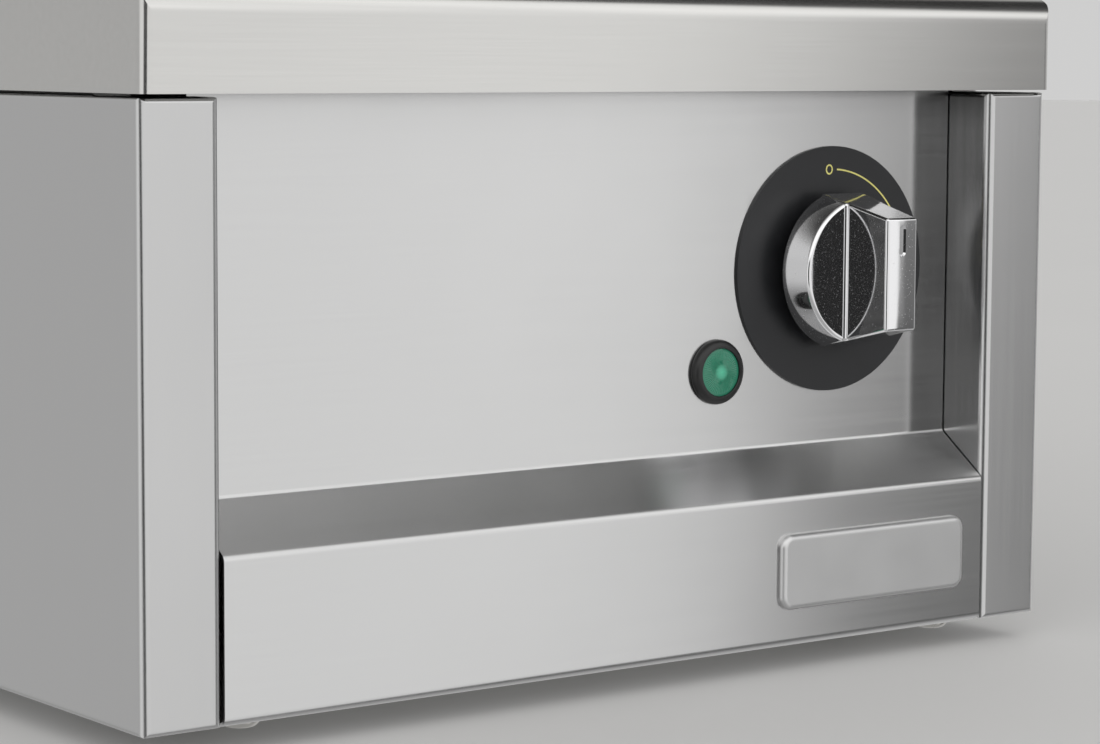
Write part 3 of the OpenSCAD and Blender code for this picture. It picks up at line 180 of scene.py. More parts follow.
def brushed_steel(name, colour, grain, roughness, anisotropy, contrast=0.025, depth=0.000002, worn=0.0):
    """Stainless sheet brushed along one axis: fine grain, broader streaks and faint handling marks."""
    material, tree, shader = material_base(name)
    fine = noise(tree, grain_scale(grain, GRAIN_ALONG, GRAIN_ACROSS), FINE_DETAIL)
    streak = noise(tree, grain_scale(grain, STREAK_ALONG, STREAK_ACROSS))
    smudge = noise(tree, (SMUDGE_COUNT,) * 3, SMUDGE_DETAIL, SMUDGE_ROUGHNESS)
    mixed = average(tree, fine, streak)
    colour_out = mottled(tree, mixed, colour, contrast)
    gloss = average(tree, streak, smudge)
    rough_out = remap(tree, gloss, *NOISE_SPAN, roughness - BRUSHED_SPREAD, roughness + BRUSHED_SPREAD)
    if worn:
        facing = add(tree, "ShaderNodeNewGeometry").outputs["Normal"]
        upward = add(tree, "ShaderNodeSeparateXYZ", {0: facing}).outputs["Z"]
        rough_out = calculate(tree, "ADD", rough_out, remap(tree, upward, *WORN_FROM, 0.0, worn))
    tangent = add(tree, "ShaderNodeTangent", direction_type="RADIAL", axis=grain).outputs["Tangent"]
    shader.inputs["Metallic"].default_value = 1.0
    shader.inputs["Anisotropic"].default_value = anisotropy
    link(tree, shader, Base_Color=colour_out, Roughness=rough_out, Tangent=tangent)
    link(tree, shader, Normal=bump(tree, mixed, depth))
    return material


def grained(name, colour, roughness, count, depth, patch_grains, contrast, spread):
    """A surface of even grain, with patches of tone and gloss that are many grains wide."""
    material, tree, shader = material_base(name)
    fine = noise(tree, (count,) * 3, FINE_DETAIL)
    patch = noise(tree, (count / patch_grains,) * 3, FINE_DETAIL)
    colour_out = mottled(tree, patch, colour, contrast)
    least = max(roughness - spread, LEAST_ROUGHNESS)
    rough_out = remap(tree, patch, *NOISE_SPAN, least, roughness + spread)
    link(tree, shader, Base_Color=colour_out, Roughness=rough_out, Normal=bump(tree, fine, depth))
    return material


def satin_metal(name, colour, roughness, count, depth, contrast=0.05, spread=0.05):
    """Metal with an even grain, such as blasted, cast or drawn metal."""
    material = grained(name, colour, roughness, count, depth, METAL_PATCH, contrast, spread)
    material.node_tree.nodes["Principled BSDF"].inputs["Metallic"].default_value = 1.0
    return material


def moulded(name, colour, roughness, count, depth, contrast=0.12, spread=0.06):
    """Plastic, rubber, enamel or ceramic with a fine moulded grain."""
    return grained(name, colour, roughness, count, depth, MOULDED_PATCH, contrast, spread)


# Specks in the plating: counts per metre, the noise values over which they rise, and how dull they are
SPECK_COUNT = 2200.0
SPECK_DETAIL = 1.0
SPECK_FROM = (0.711, 0.751)
SPECK_ROUGHNESS = 0.3


def chrome():
    """Bright plating with a faint unevenness and a few dull specks."""
    material = satin_metal("chrome", (0.80, 0.80, 0.81), 0.06, 900.0, 0.0000006, 0.02, 0.02)
    tree = material.node_tree
    shader = tree.nodes["Principled BSDF"]
    plain = shader.inputs["Roughness"].links[0].from_socket
    spots = noise(tree, (SPECK_COUNT,) * 3, SPECK_DETAIL)
    specks = remap(tree, spots, *SPECK_FROM, 0.0, SPECK_ROUGHNESS)
    link(tree, shader, Roughness=calculate(tree, "ADD", plain, specks))
    return material


# Lens of the pilot lamp: its place, the radii over which its pale core fades, its greens and its hatch
LENS_PLACE = [(low + high) / 2 for low, high in zip(*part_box("lamp_lens"))]
LENS_GLOW = (0.0002, 0.0046)
LENS_GREENS = ((0.105, 0.60, 0.38), (0.033, 0.245, 0.148))
LENS_FADE = (0.05, 1.0)
LENS_HATCH = (200.0, 200.0, 2200.0)
LENS_HATCH_DETAIL = 1.0
LENS_HATCH_SHARE = 0.4
LENS_MOTTLE = 400.0
LENS_ROUGHNESS = (0.12, 0.22)
LENS_COAT = 0.12


def lamp_green():
    """Clear green plastic over a pale core."""
    material, tree, shader = material_base("lens_green")
    place = add(tree, "ShaderNodeTexCoord").outputs["Object"]
    level = add(tree, "ShaderNodeVectorMath", {0: place, 1: (1.0, 0.0, 1.0)}, operation="MULTIPLY").outputs[0]
    middle = (LENS_PLACE[0], 0.0, LENS_PLACE[2])
    away = add(tree, "ShaderNodeVectorMath", {0: level, 1: middle}, operation="DISTANCE").outputs["Value"]
    fade = remap(tree, away, *LENS_GLOW, smooth=True)
    hatch = calculate(tree, "MULTIPLY", noise(tree, LENS_HATCH, LENS_HATCH_DETAIL), LENS_HATCH_SHARE)
    colour_out = tones(tree, calculate(tree, "ADD", fade, hatch), *LENS_GREENS, LENS_FADE)
    rough_out = remap(tree, noise(tree, (LENS_MOTTLE,) * 3), *NOISE_SPAN, *LENS_ROUGHNESS)
    shader.inputs["Coat Weight"].default_value = LENS_COAT
    link(tree, shader, Base_Color=colour_out, Roughness=rough_out)
    return material


STEEL = (0.64, 0.64, 0.64)
# The posts' steel is painted a little darker than the panel's: painted shade for their dimmer reflection
POST_STEEL_SHADED = (0.615, 0.615, 0.615)
WARM_STEEL = (0.65, 0.645, 0.63)
# Brushed steel: colour, axis of the grain, roughness, anisotropy, contrast, depth of the grain and wear.
# Other finishes: colour, roughness, grains per metre, depth of the grain, contrast and spread of roughness
FINISHES = {
    "panel_steel": brushed_steel("steel_panel", STEEL, "X", 0.20, 0.9, 0.012, 0.0000008, 0.05),
    "level_steel": brushed_steel("steel_brushed_level", STEEL, "X", 0.24, 0.8),
    "upright_steel": brushed_steel("steel_brushed_upright", POST_STEEL_SHADED, "Z", 0.23, 0.5, 0.012, 0.0000008),
    "worktop_steel": brushed_steel("steel_worktop", WARM_STEEL, "X", 0.19, 0.6),
    "inner_steel": satin_metal("steel_mill", (0.56, 0.56, 0.55), 0.36, 1500.0, 0.000004),
    "pan_steel": satin_metal("steel_drawn", (0.62, 0.62, 0.61), 0.32, 1600.0, 0.000001, 0.015, 0.02),
    "fastener_steel": satin_metal("steel_fastener", (0.60, 0.59, 0.56), 0.28, 2500.0, 0.000004),
    "knob_chrome": chrome(),
    "badge_metal": satin_metal("badge_satin", (0.66, 0.66, 0.66), 0.38, 2200.0, 0.000003, 0.02, 0.03),
    "dial_black": moulded("dial_black", (0.0155, 0.016, 0.018), 0.42, 3000.0, 0.000008),
    "mark_yellow": moulded("mark_yellow", (0.84, 0.78, 0.25), 0.5, 3000.0, 0.000008),
    "black_plastic": moulded("plastic_black", (0.012, 0.012, 0.012), 0.34, 2500.0, 0.000008),
    "lamp_green": lamp_green(),
    "reflector_metal": satin_metal("reflector_bright", (0.78, 0.78, 0.79), 0.14, 900.0, 0.000004),
    "emitter_ceramic": moulded("ceramic_glaze", (0.62, 0.60, 0.55), 0.30, 800.0, 0.00002, 0.08),
    "stud_brass": satin_metal("brass", (0.60, 0.44, 0.18), 0.28, 2000.0, 0.000004, 0.1),
    "foot_rubber": moulded("rubber_black", (0.022, 0.022, 0.022), 0.62, 1400.0, 0.00003),
    "lead_sleeve": moulded("sleeve_white", (0.60, 0.58, 0.53), 0.55, 1800.0, 0.00003, 0.1),
}
NODE_FINISH = {
    "left_side_panel": "upright_steel",
    "right_side_panel": "upright_steel",
    "front_panel": "panel_steel",
    "rear_panel": "level_steel",
    "upright": "level_steel",
    "upright_cover": "level_steel",
    "canopy": "level_steel",
}


def smooth_bends():
    """Modifier nodes that weld a sheet's faces and shade them smoothly across shallow edges."""
    tree = bpy.data.node_groups.new("smooth_bends", "GeometryNodeTree")
    tree.interface.new_socket("Geometry", in_out="INPUT", socket_type="NodeSocketGeometry")
    tree.interface.new_socket("Geometry", in_out="OUTPUT", socket_type="NodeSocketGeometry")
    start = add(tree, "NodeGroupInput").outputs[0]
    bare = add(tree, "GeometryNodeRemoveAttribute", {"Geometry": start, "Name": "custom_normal"}).outputs[0]
    welded = add(tree, "GeometryNodeMergeByDistance", {"Geometry": bare, "Distance": WELD_GAP}).outputs[0]
    soft = add(tree, "GeometryNodeSetShadeSmooth", {"Geometry": welded, "Shade Smooth": True}, domain="FACE")
    angle = add(tree, "GeometryNodeInputMeshEdgeAngle").outputs["Unsigned Angle"]
    shallow = add(tree, "FunctionNodeCompare", {0: angle, 1: SMOOTH_ANGLE}, operation="LESS_THAN").outputs[0]
    edged = add(tree, "GeometryNodeSetShadeSmooth",
                {"Geometry": soft.outputs[0], "Shade Smooth": shallow}, domain="EDGE")
    add(tree, "NodeGroupOutput", {0: edged.outputs[0]})
    return tree


SMOOTH_BENDS = smooth_bends()


def soften(piece):
    """Smooth shading over bends, with flat faces kept flat."""
    bends = piece.modifiers.new("smooth_bends", "NODES")
    bends.node_group = SMOOTH_BENDS
    even = piece.modifiers.new("even_normals", "WEIGHTED_NORMAL")
    even.keep_sharp = True


def dress_nodes():
    """Every CAD node gets smooth bends and its own finish, or else its slot's."""
    for name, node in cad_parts.items():
        soften(node)
        for slot in node.material_slots:
            slot.material = FINISHES[NODE_FINISH.get(name, slot.material.name.split(".")[0])]


dress_nodes()


def skin(form, rows):
    """Faces between each closed row of points and the next row."""
    count = len(rows[0])
    for low, high in zip(rows, rows[1:]):
        for here in range(count):
            there = (here + 1) % count
            form.faces.new((low[here], low[there], high[there], high[here]))


def lofted(rings):
    """A closed form through rings of points, with its two ends capped."""
    form = bmesh.new()
    rows = [[form.verts.new(point) for point in ring] for ring in rings]
    skin(form, rows)
    form.faces.new(rows[0])
    form.faces.new(rows[-1])
    bmesh.ops.recalc_face_normals(form, faces=form.faces)
    return form


def as_object(form, name):
    mesh = bpy.data.meshes.new(name)
    form.to_mesh(mesh)
    form.free()
    piece = bpy.data.objects.new(name, mesh)
    bpy.context.scene.collection.objects.link(piece)
    return piece


def combined(piece, tool, operation):
    """Joins or cuts a piece with a tool, which is used up."""
    step = piece.modifiers.new("combine", "BOOLEAN")
    step.operation = operation
    step.solver = "EXACT"
    step.object = tool
    graph = bpy.context.evaluated_depsgraph_get()
    whole = bpy.data.meshes.new_from_object(piece.evaluated_get(graph))
    piece.modifiers.clear()
    piece.data = whole
    bpy.data.objects.remove(tool)


def finished(piece, finish, slot, body, *replaced):
    """Gives a piece its shading, finish, the body it rides on and the nodes it stands for. The slot is not
    used.
    """
    piece.data.materials.clear()
    piece.data.materials.append(FINISHES[finish])
    soften(piece)
    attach(piece, body)
    for node in replaced:
        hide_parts(node)


MM = 0.001
panel_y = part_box("dial_plate")[1].y


class PanelFrame:
    """Places on the control panel: millimetres right of, above and out from a node's axis."""

    def __init__(self, node):
        low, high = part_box(node)
        self.x = (low.x + high.x) / 2
        self.z = (low.z + high.z) / 2
        self.radius = (high.x - low.x) / 2 / MM
        self.back = (panel_y - high.y) / MM
        self.front = (panel_y - low.y) / MM

    def place(self, right, up, out):
        return Vector((self.x + right * MM, panel_y - out * MM, self.z + up * MM))

    def circle(self, radius, out, count, ripple=0.0):
        """A ring around the axis; the ripple lifts every other point."""
        turns = [math.tau * step / count for step in range(count)]
        lifts = [ripple if step % 2 else 0.0 for step in range(count)]
        return [self.place(radius * math.cos(turn), radius * math.sin(turn), out + lift)
                for turn, lift in zip(turns, lifts)]


def arc(middle, radius, start, end, steps):
    """Points of an arc in a flat drawing, with its angles in degrees."""
    angles = [math.radians(start + (end - start) * step / steps) for step in range(steps + 1)]
    return [(middle[0] + radius * math.cos(angle), middle[1] + radius * math.sin(angle)) for angle in angles]


# Control knob, in millimetres from the panel's face
KNOB_SIDES = 144
KNOB_RIM_R = 27.0
KNOB_FLOOR = 19.0
KNOB_RIM_ROUND = 1.5
KNOB_BACK_ROUND = 0.5
KNOB_RIM_STEPS = 10
KNOB_BACK_STEPS = 4
# Radius and end of the knob's hollow, and of the bore for its insert
KNOB_CAVITY = ((24.0, 16.0), (6.6, 23.1))
# Half the grip's width and length, at the knob's back and at its face
GRIP_ROOT = (9.5, 28.5)
GRIP_FACE = (7.5, 20.5)
GRIP_CORNER = 1.1
GRIP_ROUND = 1.2
GRIP_FILLET = 1.8
GRIP_SINK = 0.25
GRIP_CROWN_R = 120.0
LEAST_CORNER = 0.1
# Rings of the fillet, which crowd towards its root, and shares of the grip's face where its rings lie
FILLET_STEPS = 6
FILLET_CROWDING = 1.5
FACE_SHARES = (0.75, 0.5, 0.25, 0.04)
OUTLINE_SIDE_STEPS = 8
OUTLINE_ROUND_STEPS = 6
POINTER_UP = 12.4
POINTER_HALF = 5.75
POINTER_DEPTH = 0.7
POINTER_FLOOR = 0.9
POINTER_RIM = 1.6
POINTER_STEPS = 12
# How far a cutter reaches past the face where it starts
CUT_PAST = 1.0


def knob_skirt(at):
    """Tapered skirt with a rounded rim and back edge, as (radius, distance out) rings."""
    lean = math.atan2(at.radius - KNOB_RIM_R, KNOB_FLOOR - at.back)
    rim_out = KNOB_FLOOR - KNOB_RIM_ROUND
    rim_r = at.radius - math.tan(lean) * (rim_out - at.back) - KNOB_RIM_ROUND / math.cos(lean)
    back_middle = (at.radius - KNOB_BACK_ROUND, at.back + KNOB_BACK_ROUND)
    lean_degrees = math.degrees(lean)
    outline = arc(back_middle, KNOB_BACK_ROUND, -90.0, 0.0, KNOB_BACK_STEPS)
    outline += arc((rim_r, rim_out), KNOB_RIM_ROUND, lean_degrees, 90.0, KNOB_RIM_STEPS)
    return lofted([at.circle(radius, out, KNOB_SIDES) for radius, out in outline])


def rounded_outline(half_w, half_l, corner):
    """A rounded rectangle of points; its short sides are divided, so that they can follow the crown."""
    points = []
    inner = half_w - corner
    reach = half_l - corner
    shares = [1 - 2 * step / OUTLINE_SIDE_STEPS for step in range(1, OUTLINE_SIDE_STEPS)]
    for side, end, start in ((1, 1, 0.0), (-1, 1, 90.0), (-1, -1, 180.0), (1, -1, 270.0)):
        points += arc((side * inner, end * reach), corner, start, start + 90.0, OUTLINE_ROUND_STEPS)
        if side == end:
            points += [(side * inner * share, end * half_l) for share in shares]
    return points


def crown_drop(across):
    return GRIP_CROWN_R - math.sqrt(GRIP_CROWN_R ** 2 - across ** 2)


def grip_spread(out):
    """How far the fillet at the grip's root spreads its long sides."""
    rise = max(out, KNOB_FLOOR) - KNOB_FLOOR + GRIP_SINK
    if rise >= GRIP_FILLET:
        return 0.0
    return GRIP_FILLET - math.sqrt(GRIP_FILLET ** 2 - (GRIP_FILLET - rise) ** 2)


def half_sizes(at, out):
    """Half the grip's width and length at a distance from the panel."""
    share = (out - at.back) / (at.front - at.back)
    return [root + (face - root) * share for root, face in zip(GRIP_ROOT, GRIP_FACE)]


def end_block(at):
    """Block between the planes of the grip's two sloping ends, which also cut the skirt."""
    rings = []
    for out in (at.back - CUT_PAST, at.front):
        half_l = half_sizes(at, out)[1]
        corners = ((-1, -1), (1, -1), (1, 1), (-1, 1))
        rings.append([at.place(side * 2 * at.radius, end * half_l, out) for side, end in corners])
    return lofted(rings)


def knob_grip(at):
    """Tapered grip with rounded edges, a filleted root and a crowned face."""
    lean = (GRIP_ROOT[1] - GRIP_FACE[1]) / (at.front - at.back)

    def ring(half_w, half_l, corner, out, crowned=True):
        points = []
        for across, up in rounded_outline(half_w, half_l, corner):
            drop = crown_drop(across) if crowned else 0.0
            points.append(at.place(across, up * (1.0 + lean * drop / half_l), out - drop))
        return points

    rings = []
    shoulder = at.front - GRIP_ROUND
    crowded = [(step / FILLET_STEPS) ** FILLET_CROWDING for step in range(FILLET_STEPS + 1)]
    fillet = [KNOB_FLOOR + (GRIP_FILLET - GRIP_SINK) * share for share in crowded]
    for out in [at.back, *fillet, shoulder]:
        half_w, half_l = half_sizes(at, out)
        rings.append(ring(half_w + grip_spread(out), half_l, GRIP_CORNER, out, out == shoulder))
    half_w, half_l = half_sizes(at, shoulder)
    for inset, rise in arc((0.0, 0.0), GRIP_ROUND, 0.0, 90.0, OUTLINE_ROUND_STEPS)[1:]:
        step = GRIP_ROUND - inset
        corner = max(GRIP_CORNER - step, LEAST_CORNER)
        rings.append(ring(half_w - step, half_l - step, corner, shoulder + rise))
    top = rounded_outline(half_w - GRIP_ROUND, half_l - GRIP_ROUND, LEAST_CORNER)
    for share in FACE_SHARES:
        rings.append([at.place(across * share, up * share, at.front - crown_drop(across * share))
                      for across, up in top])
    return lofted(rings)


def pointer_cutter(at):
    """Sloping slot near the top of the grip's face."""
    slope = (POINTER_RIM - POINTER_FLOOR) / POINTER_DEPTH
    rings = []
    for out in (-POINTER_DEPTH, CUT_PAST):
        half = POINTER_FLOOR + slope * (out + POINTER_DEPTH)
        length = POINTER_HALF - POINTER_RIM
        outline = arc((0.0, POINTER_UP + length), half, 0.0, 180.0, POINTER_STEPS)
        outline += arc((0.0, POINTER_UP - length), half, 180.0, 360.0, POINTER_STEPS)
        rings.append([at.place(across, up, at.front + out) for across, up in outline])
    return lofted(rings)


def cavity_cutter(at):
    """The knob's hollow back and the bore for its insert."""
    (wide, floor), (bore, end) = KNOB_CAVITY
    outline = ((wide, at.back - CUT_PAST), (wide, floor), (bore, floor), (bore, end))
    return lofted([at.circle(radius, out, KNOB_SIDES) for radius, out in outline])


def make_knob():
    at = PanelFrame("control_knob")
    knob = as_object(knob_skirt(at), "chrome_knob")
    combined(knob, as_object(end_block(at), "ends"), "INTERSECT")
    combined(knob, as_object(knob_grip(at), "grip"), "UNION")
    combined(knob, as_object(pointer_cutter(at), "pointer"), "DIFFERENCE")
    combined(knob, as_object(cavity_cutter(at), "cavity"), "DIFFERENCE")
    finished(knob, "knob_chrome", "knob_chrome", "knob", "control_knob")


# Printed marks of the dial, in millimetres and degrees clockwise from the top
MARK_RADIUS = 37.3
MARK_RISE = 0.05
MARK_LINE = 0.6
MARK_ARC = (3.7, 84.0)
MARK_STEPS = 48
NOUGHT_TURN = -2.2
NOUGHT_HALF = (1.75, 1.95)
NOUGHT_SIDES = 40
ONE_HALF = 1.9
ONE_FLAG = 1.1
# How far below its top the flag of the one meets its stem, in widths of the line
ONE_NOTCH = 1.4


def flat_mark(at, outline):
    """A thin printed mark on the dial's face."""
    return [[at.place(right, up, at.front + out) for right, up in outline] for out in (-MARK_RISE, MARK_RISE)]


def ring_mark(at, inner, outer):
    """A thin ring between two loops of points."""
    form = bmesh.new()
    section = ((inner, -MARK_RISE), (inner, MARK_RISE), (outer, MARK_RISE), (outer, -MARK_RISE))
    loops = [[form.verts.new(at.place(right, up, at.front + out)) for right, up in loop]
             for loop, out in section]
    skin(form, loops + loops[:1])
    bmesh.ops.recalc_face_normals(form, faces=form.faces)
    return form


def ellipse(middle, half_w, half_h):
    turns = [math.tau * step / NOUGHT_SIDES for step in range(NOUGHT_SIDES)]
    return [(middle[0] + half_w * math.cos(turn), middle[1] + half_h * math.sin(turn)) for turn in turns]


def finish_mark(form, name):
    finished(as_object(form, name), "mark_yellow", "dial_black", "cabinet")


def make_dial_marks():
    """A nought at the top, a curved line to the on position, and a one there."""
    at = PanelFrame("dial_plate")
    half_w, half_h = NOUGHT_HALF
    middle = arc((0.0, 0.0), MARK_RADIUS, 90.0 - NOUGHT_TURN, 90.0, 1)[0]
    inner = ellipse(middle, half_w - MARK_LINE, half_h - MARK_LINE)
    finish_mark(ring_mark(at, inner, ellipse(middle, half_w, half_h)), "dial_nought")
    start, end = (90.0 - angle for angle in MARK_ARC)
    right = MARK_RADIUS + MARK_LINE / 2
    left = MARK_RADIUS - MARK_LINE / 2
    line = arc((0.0, 0.0), right, start, end, MARK_STEPS) + arc((0.0, 0.0), left, end, start, MARK_STEPS)
    finish_mark(lofted(flat_mark(at, line)), "dial_line")
    flag = left - ONE_FLAG
    flag_top = ONE_HALF - ONE_FLAG
    one = [
        (right, -ONE_HALF),
        (right, ONE_HALF),
        (left, ONE_HALF),
        (flag, flag_top),
        (flag, flag_top - MARK_LINE),
        (left, ONE_HALF - ONE_NOTCH * MARK_LINE),
        (left, -ONE_HALF),
    ]
    finish_mark(lofted(flat_mark(at, one)), "dial_one")


# Pilot lamp's lens, in millimetres
LENS_RIBS = 56
LENS_RIB = 0.16
LENS_RISE = 0.7
LENS_CORE = 2.2
LENS_TIP = 0.1
LENS_RINGS = 12


def make_lens():
    """Domed lens with fine radial ribs around a plain core."""
    at = PanelFrame("lamp_lens")
    dome_r = (at.radius ** 2 + LENS_RISE ** 2) / (2 * LENS_RISE)
    count = 2 * LENS_RIBS
    rings = [at.circle(at.radius, at.back, count)]
    for step in range(LENS_RINGS + 1):
        radius = max(at.radius * (1 - step / LENS_RINGS), LENS_TIP)
        drop = dome_r - math.sqrt(dome_r ** 2 - radius ** 2)
        rib = LENS_RIB if LENS_CORE < radius < at.radius else 0.0
        rings.append(at.circle(radius, at.front - drop - LENS_RIB, count, rib))
    finished(as_object(lofted(rings), "ribbed_lens"), "lamp_green", "lamp_green", "cabinet", "lamp_lens")


# Badge with a softly rounded edge, in millimetres from the fascia
BADGE_CORNER = 5.0
BADGE_ROUND = (2.3, 2.0)
BADGE_STEPS = 8


def make_badge():
    """A bare plate whose edge rounds over onto a flat field."""
    low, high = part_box("badge_plate")
    middle = (low + high) / 2
    half_w = (high.x - low.x) / 2 / MM
    half_h = (high.z - low.z) / 2 / MM
    front = (high.y - low.y) / MM

    def place(right, up, out):
        return Vector((middle.x + right * MM, high.y - out * MM, middle.z + up * MM))

    profile = [(0.0, 0.0)]
    for inset, rise in arc((0.0, 0.0), 1.0, 0.0, 90.0, BADGE_STEPS):
        profile.append((BADGE_ROUND[0] * (1.0 - inset), front - BADGE_ROUND[1] * (1.0 - rise)))
    rings = []
    for inset, out in profile:
        outline = rounded_outline(half_w - inset, half_h - inset, BADGE_CORNER - inset)
        rings.append([place(right, up, out) for right, up in outline])
    finished(as_object(lofted(rings), "bare_badge"), "badge_metal", "badge_metal", "cabinet", "badge_plate")


# Cross-recessed screws: the height of the head and the pitch of the thread as shares of the head's width
SCREW_SIDES = 32
SCREW_HEAD = 0.38
SCREW_PITCH = 0.16
# Radii of the shank, the head's seat and the top of its dome as shares of the head's radius, and of the
# thread's root and the tip as shares of the shank's
SCREW_SHANK = 0.52
SCREW_ROOT = 0.86
SCREW_TIP = 0.4
HEAD_SEAT = 0.97
HEAD_FACE = 0.58
# The dome: its spread beyond its top, its straight edge as a share of its height, and its arc in degrees
HEAD_SPREAD = 0.42
HEAD_EDGE = 0.2
HEAD_ARC = (10.0, 80.0)
HEAD_STEPS = 5
# The recess: its rim, its rings and half its width as shares of the head's radius, its depth of the height
RECESS_RIM = 0.55
RECESS_RINGS = (0.52, 0.38, 0.24, 0.12, 0.02)
RECESS_HALF = 0.13
RECESS_DEPTH = 0.55
SCREW_NODES = {
    "rear_panel_screws": ("screws_rear", (0.0, 1.0, 0.0)),
    "cover_screws": ("screws_cover", (0.0, 1.0, 0.0)),
    "canopy_screws": ("screws_canopy", (1.0, 0.0, 0.0)),
    "fascia_screws": ("screws_fascia", (0.0, 0.0, -1.0)),
}


def solid_boxes(node):
    """The box of each separate solid in a node."""
    form = bmesh.new()
    form.from_mesh(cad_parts[node].data)
    bmesh.ops.remove_doubles(form, verts=form.verts, dist=WELD_GAP)
    seen = set()
    boxes = []
    for first in list(form.verts):
        if first in seen:
            continue
        seen.add(first)
        island = [first]
        for vert in island:
            for edge in vert.link_edges:
                other = edge.other_vert(vert)
                if other not in seen:
                    seen.add(other)
                    island.append(other)
        corners = [[pick(vert.co[axis] for vert in island) for axis in range(3)] for pick in (min, max)]
        boxes.append([Vector(corner) for corner in corners])
    form.free()
    return boxes


def screw_rings(low, high, axis):
    """Rings from a screw's tip over its thread and domed head to the floor of its cross recess."""
    sizes = high - low
    length = abs(sizes.dot(axis))
    across = axis.orthogonal()
    beside = axis.cross(across)
    radius = max(size for size, along in zip(sizes, axis) if not along) / 2
    head = SCREW_HEAD * radius * 2
    top = (low + high) / 2 + axis * length / 2
    turns = [math.tau * (step + 0.5) / SCREW_SIDES for step in range(SCREW_SIDES)]

    def ring(share, down, recess=0.0):
        points = []
        for turn in turns:
            right = share * math.cos(turn)
            up = share * math.sin(turn)
            inside = min(abs(right), abs(up)) < RECESS_HALF
            sunk = down + (recess if inside else 0.0)
            points.append(top - axis * sunk + (across * right + beside * up) * radius)
        return points

    thread = length - head
    pitch = SCREW_PITCH * radius * 2
    rings = [ring(SCREW_TIP * SCREW_SHANK, length)]
    for step in range(int(thread / pitch * 2)):
        share = SCREW_SHANK * (SCREW_ROOT if step % 2 else 1.0)
        rings.append(ring(share, length - pitch / 2 * (step + 0.5)))
    rings += [ring(SCREW_SHANK, head), ring(HEAD_SEAT, head)]
    dome = head * (1.0 - HEAD_EDGE)
    for spread, rise in arc((0.0, 0.0), 1.0, *HEAD_ARC, HEAD_STEPS):
        rings.append(ring(HEAD_FACE + HEAD_SPREAD * spread, dome * (1.0 - rise)))
    rings.append(ring(RECESS_RIM, 0.0))
    for share in RECESS_RINGS:
        rings.append(ring(share, 0.0, RECESS_DEPTH * head))
    return rings


def make_screws():
    for node, (name, axis) in SCREW_NODES.items():
        whole = bmesh.new()
        for low, high in solid_boxes(node):
            side = -1.0 if node == "canopy_screws" and (low + high).x < 0 else 1.0
            form = lofted(screw_rings(low, high, side * Vector(axis)))
            part = bpy.data.meshes.new("screw")
            form.to_mesh(part)
            form.free()
            whole.from_mesh(part)
            bpy.data.meshes.remove(part)
        finished(as_object(whole, name), "fastener_steel", "fastener_steel", "cabinet", node)


# Pilot lamp's bezel, in millimetres
BEZEL_BARREL_R = 10.0
BEZEL_EDGE = 0.5
BEZEL_LIP = 0.25
BEZEL_FIT = 0.05
BEZEL_POCKET = 6.0
BEZEL_SIDES = 96
BEZEL_STEPS = 12


def make_bezel():
    """Barrel behind the panel, a flange that rounds over, and the pocket of the lens."""
    at = PanelFrame("lamp_bezel")
    lens_r = PanelFrame("lamp_lens").radius + BEZEL_FIT
    width = at.radius - lens_r - BEZEL_LIP
    profile = [(BEZEL_BARREL_R, at.back), (BEZEL_BARREL_R, 0.0), (at.radius - BEZEL_LIP, 0.0)]
    for spread, rise in arc((0.0, 0.0), 1.0, 0.0, 90.0, BEZEL_STEPS):
        profile.append((at.radius - width * (1.0 - spread), BEZEL_EDGE + (at.front - BEZEL_EDGE) * rise))
    profile += [(lens_r, at.front - BEZEL_LIP), (lens_r, -BEZEL_POCKET)]
    rings = [at.circle(radius, out, BEZEL_SIDES) for radius, out in profile]
    bezel = as_object(lofted(rings), "domed_bezel")
    finished(bezel, "black_plastic", "black_plastic", "cabinet", "lamp_bezel")


make_knob()
make_dial_marks()
make_bezel()
make_lens()
make_badge()
make_screws()


def band(tree, value, edges):
    """One between the two inner edges, given in degrees, and nothing outside the outer ones."""
    places = [math.radians(edge) for edge in edges]
    rise = remap(tree, value, places[0], places[1], smooth=True)
    fall = remap(tree, value, places[2], places[3], 1.0, 0.0, smooth=True)
    return calculate(tree, "MULTIPLY", rise, fall)


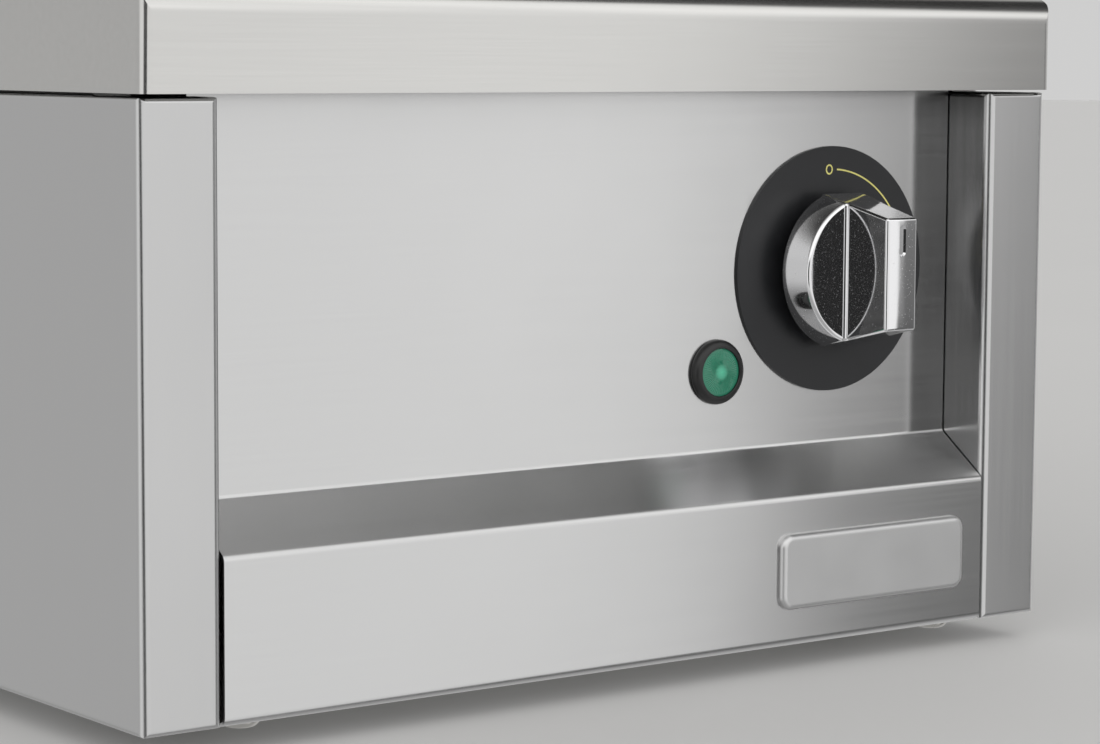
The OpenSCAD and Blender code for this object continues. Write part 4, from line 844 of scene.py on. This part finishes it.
def make_world():
    """A soft bright surround; the dark stretches give the steel and chrome something to mirror."""
    world = bpy.data.worlds.new("studio")
    bpy.context.scene.world = world
    world.use_nodes = True
    tree = world.node_tree
    background = tree.nodes["Background"]
    direction = add(tree, "ShaderNodeTexCoord").outputs["Generated"]
    part = add(tree, "ShaderNodeSeparateXYZ", {0: direction}).outputs
    turn = calculate(tree, "ARCTAN2", part["X"], calculate(tree, "MULTIPLY", part["Y"], -1.0))
    height = calculate(tree, "ARCSINE", part["Z"])
    light = remap(tree, part["Y"], *BACK_FROM, SURROUND_LIGHT, BACK_LIGHT, smooth=True)
    for turns, heights, level in STRETCHES.values():
        inside = calculate(tree, "MULTIPLY", band(tree, turn, turns), band(tree, height, heights))
        light = remap(tree, inside, 0.0, 1.0, light, level)
    tree.links.new(light, background.inputs["Strength"])
    background.inputs["Color"].default_value = SURROUND_COLOUR


def make_floor():
    """A plain pale floor; the steel mirrors the surround in place of it."""
    shape = bmesh.new()
    bmesh.ops.create_circle(shape, cap_ends=True, radius=FLOOR_RADIUS, segments=FLOOR_SIDES)
    floor = as_object(shape, "floor")
    floor.data.materials.append(moulded("floor_pale", FLOOR_COLOUR, 0.6, 60.0, 0.0, 0.01))
    floor.visible_glossy = False


def make_camera():
    data = bpy.data.cameras.new("camera")
    data.sensor_width = SENSOR_MM
    data.sensor_fit = "HORIZONTAL"
    data.lens = LENS_MM
    camera = bpy.data.objects.new("camera", data)
    level = math.cos(CAMERA_PITCH)
    forward = Vector((math.sin(CAMERA_YAW) * level, math.cos(CAMERA_YAW) * level, -math.sin(CAMERA_PITCH)))
    right = Vector((math.cos(CAMERA_YAW), -math.sin(CAMERA_YAW), 0.0))
    up = right.cross(forward)
    rolled_right = right * math.cos(CAMERA_ROLL) + up * math.sin(CAMERA_ROLL)
    rolled_up = up * math.cos(CAMERA_ROLL) - right * math.sin(CAMERA_ROLL)
    turned = Matrix((rolled_right, rolled_up, -forward)).transposed().to_4x4()
    camera.matrix_world = Matrix.Translation(CAMERA_AT) @ turned
    bpy.context.scene.collection.objects.link(camera)
    bpy.context.scene.camera = camera


make_world()
make_floor()
make_camera()
bpy.context.scene.view_settings.view_transform = "Standard"
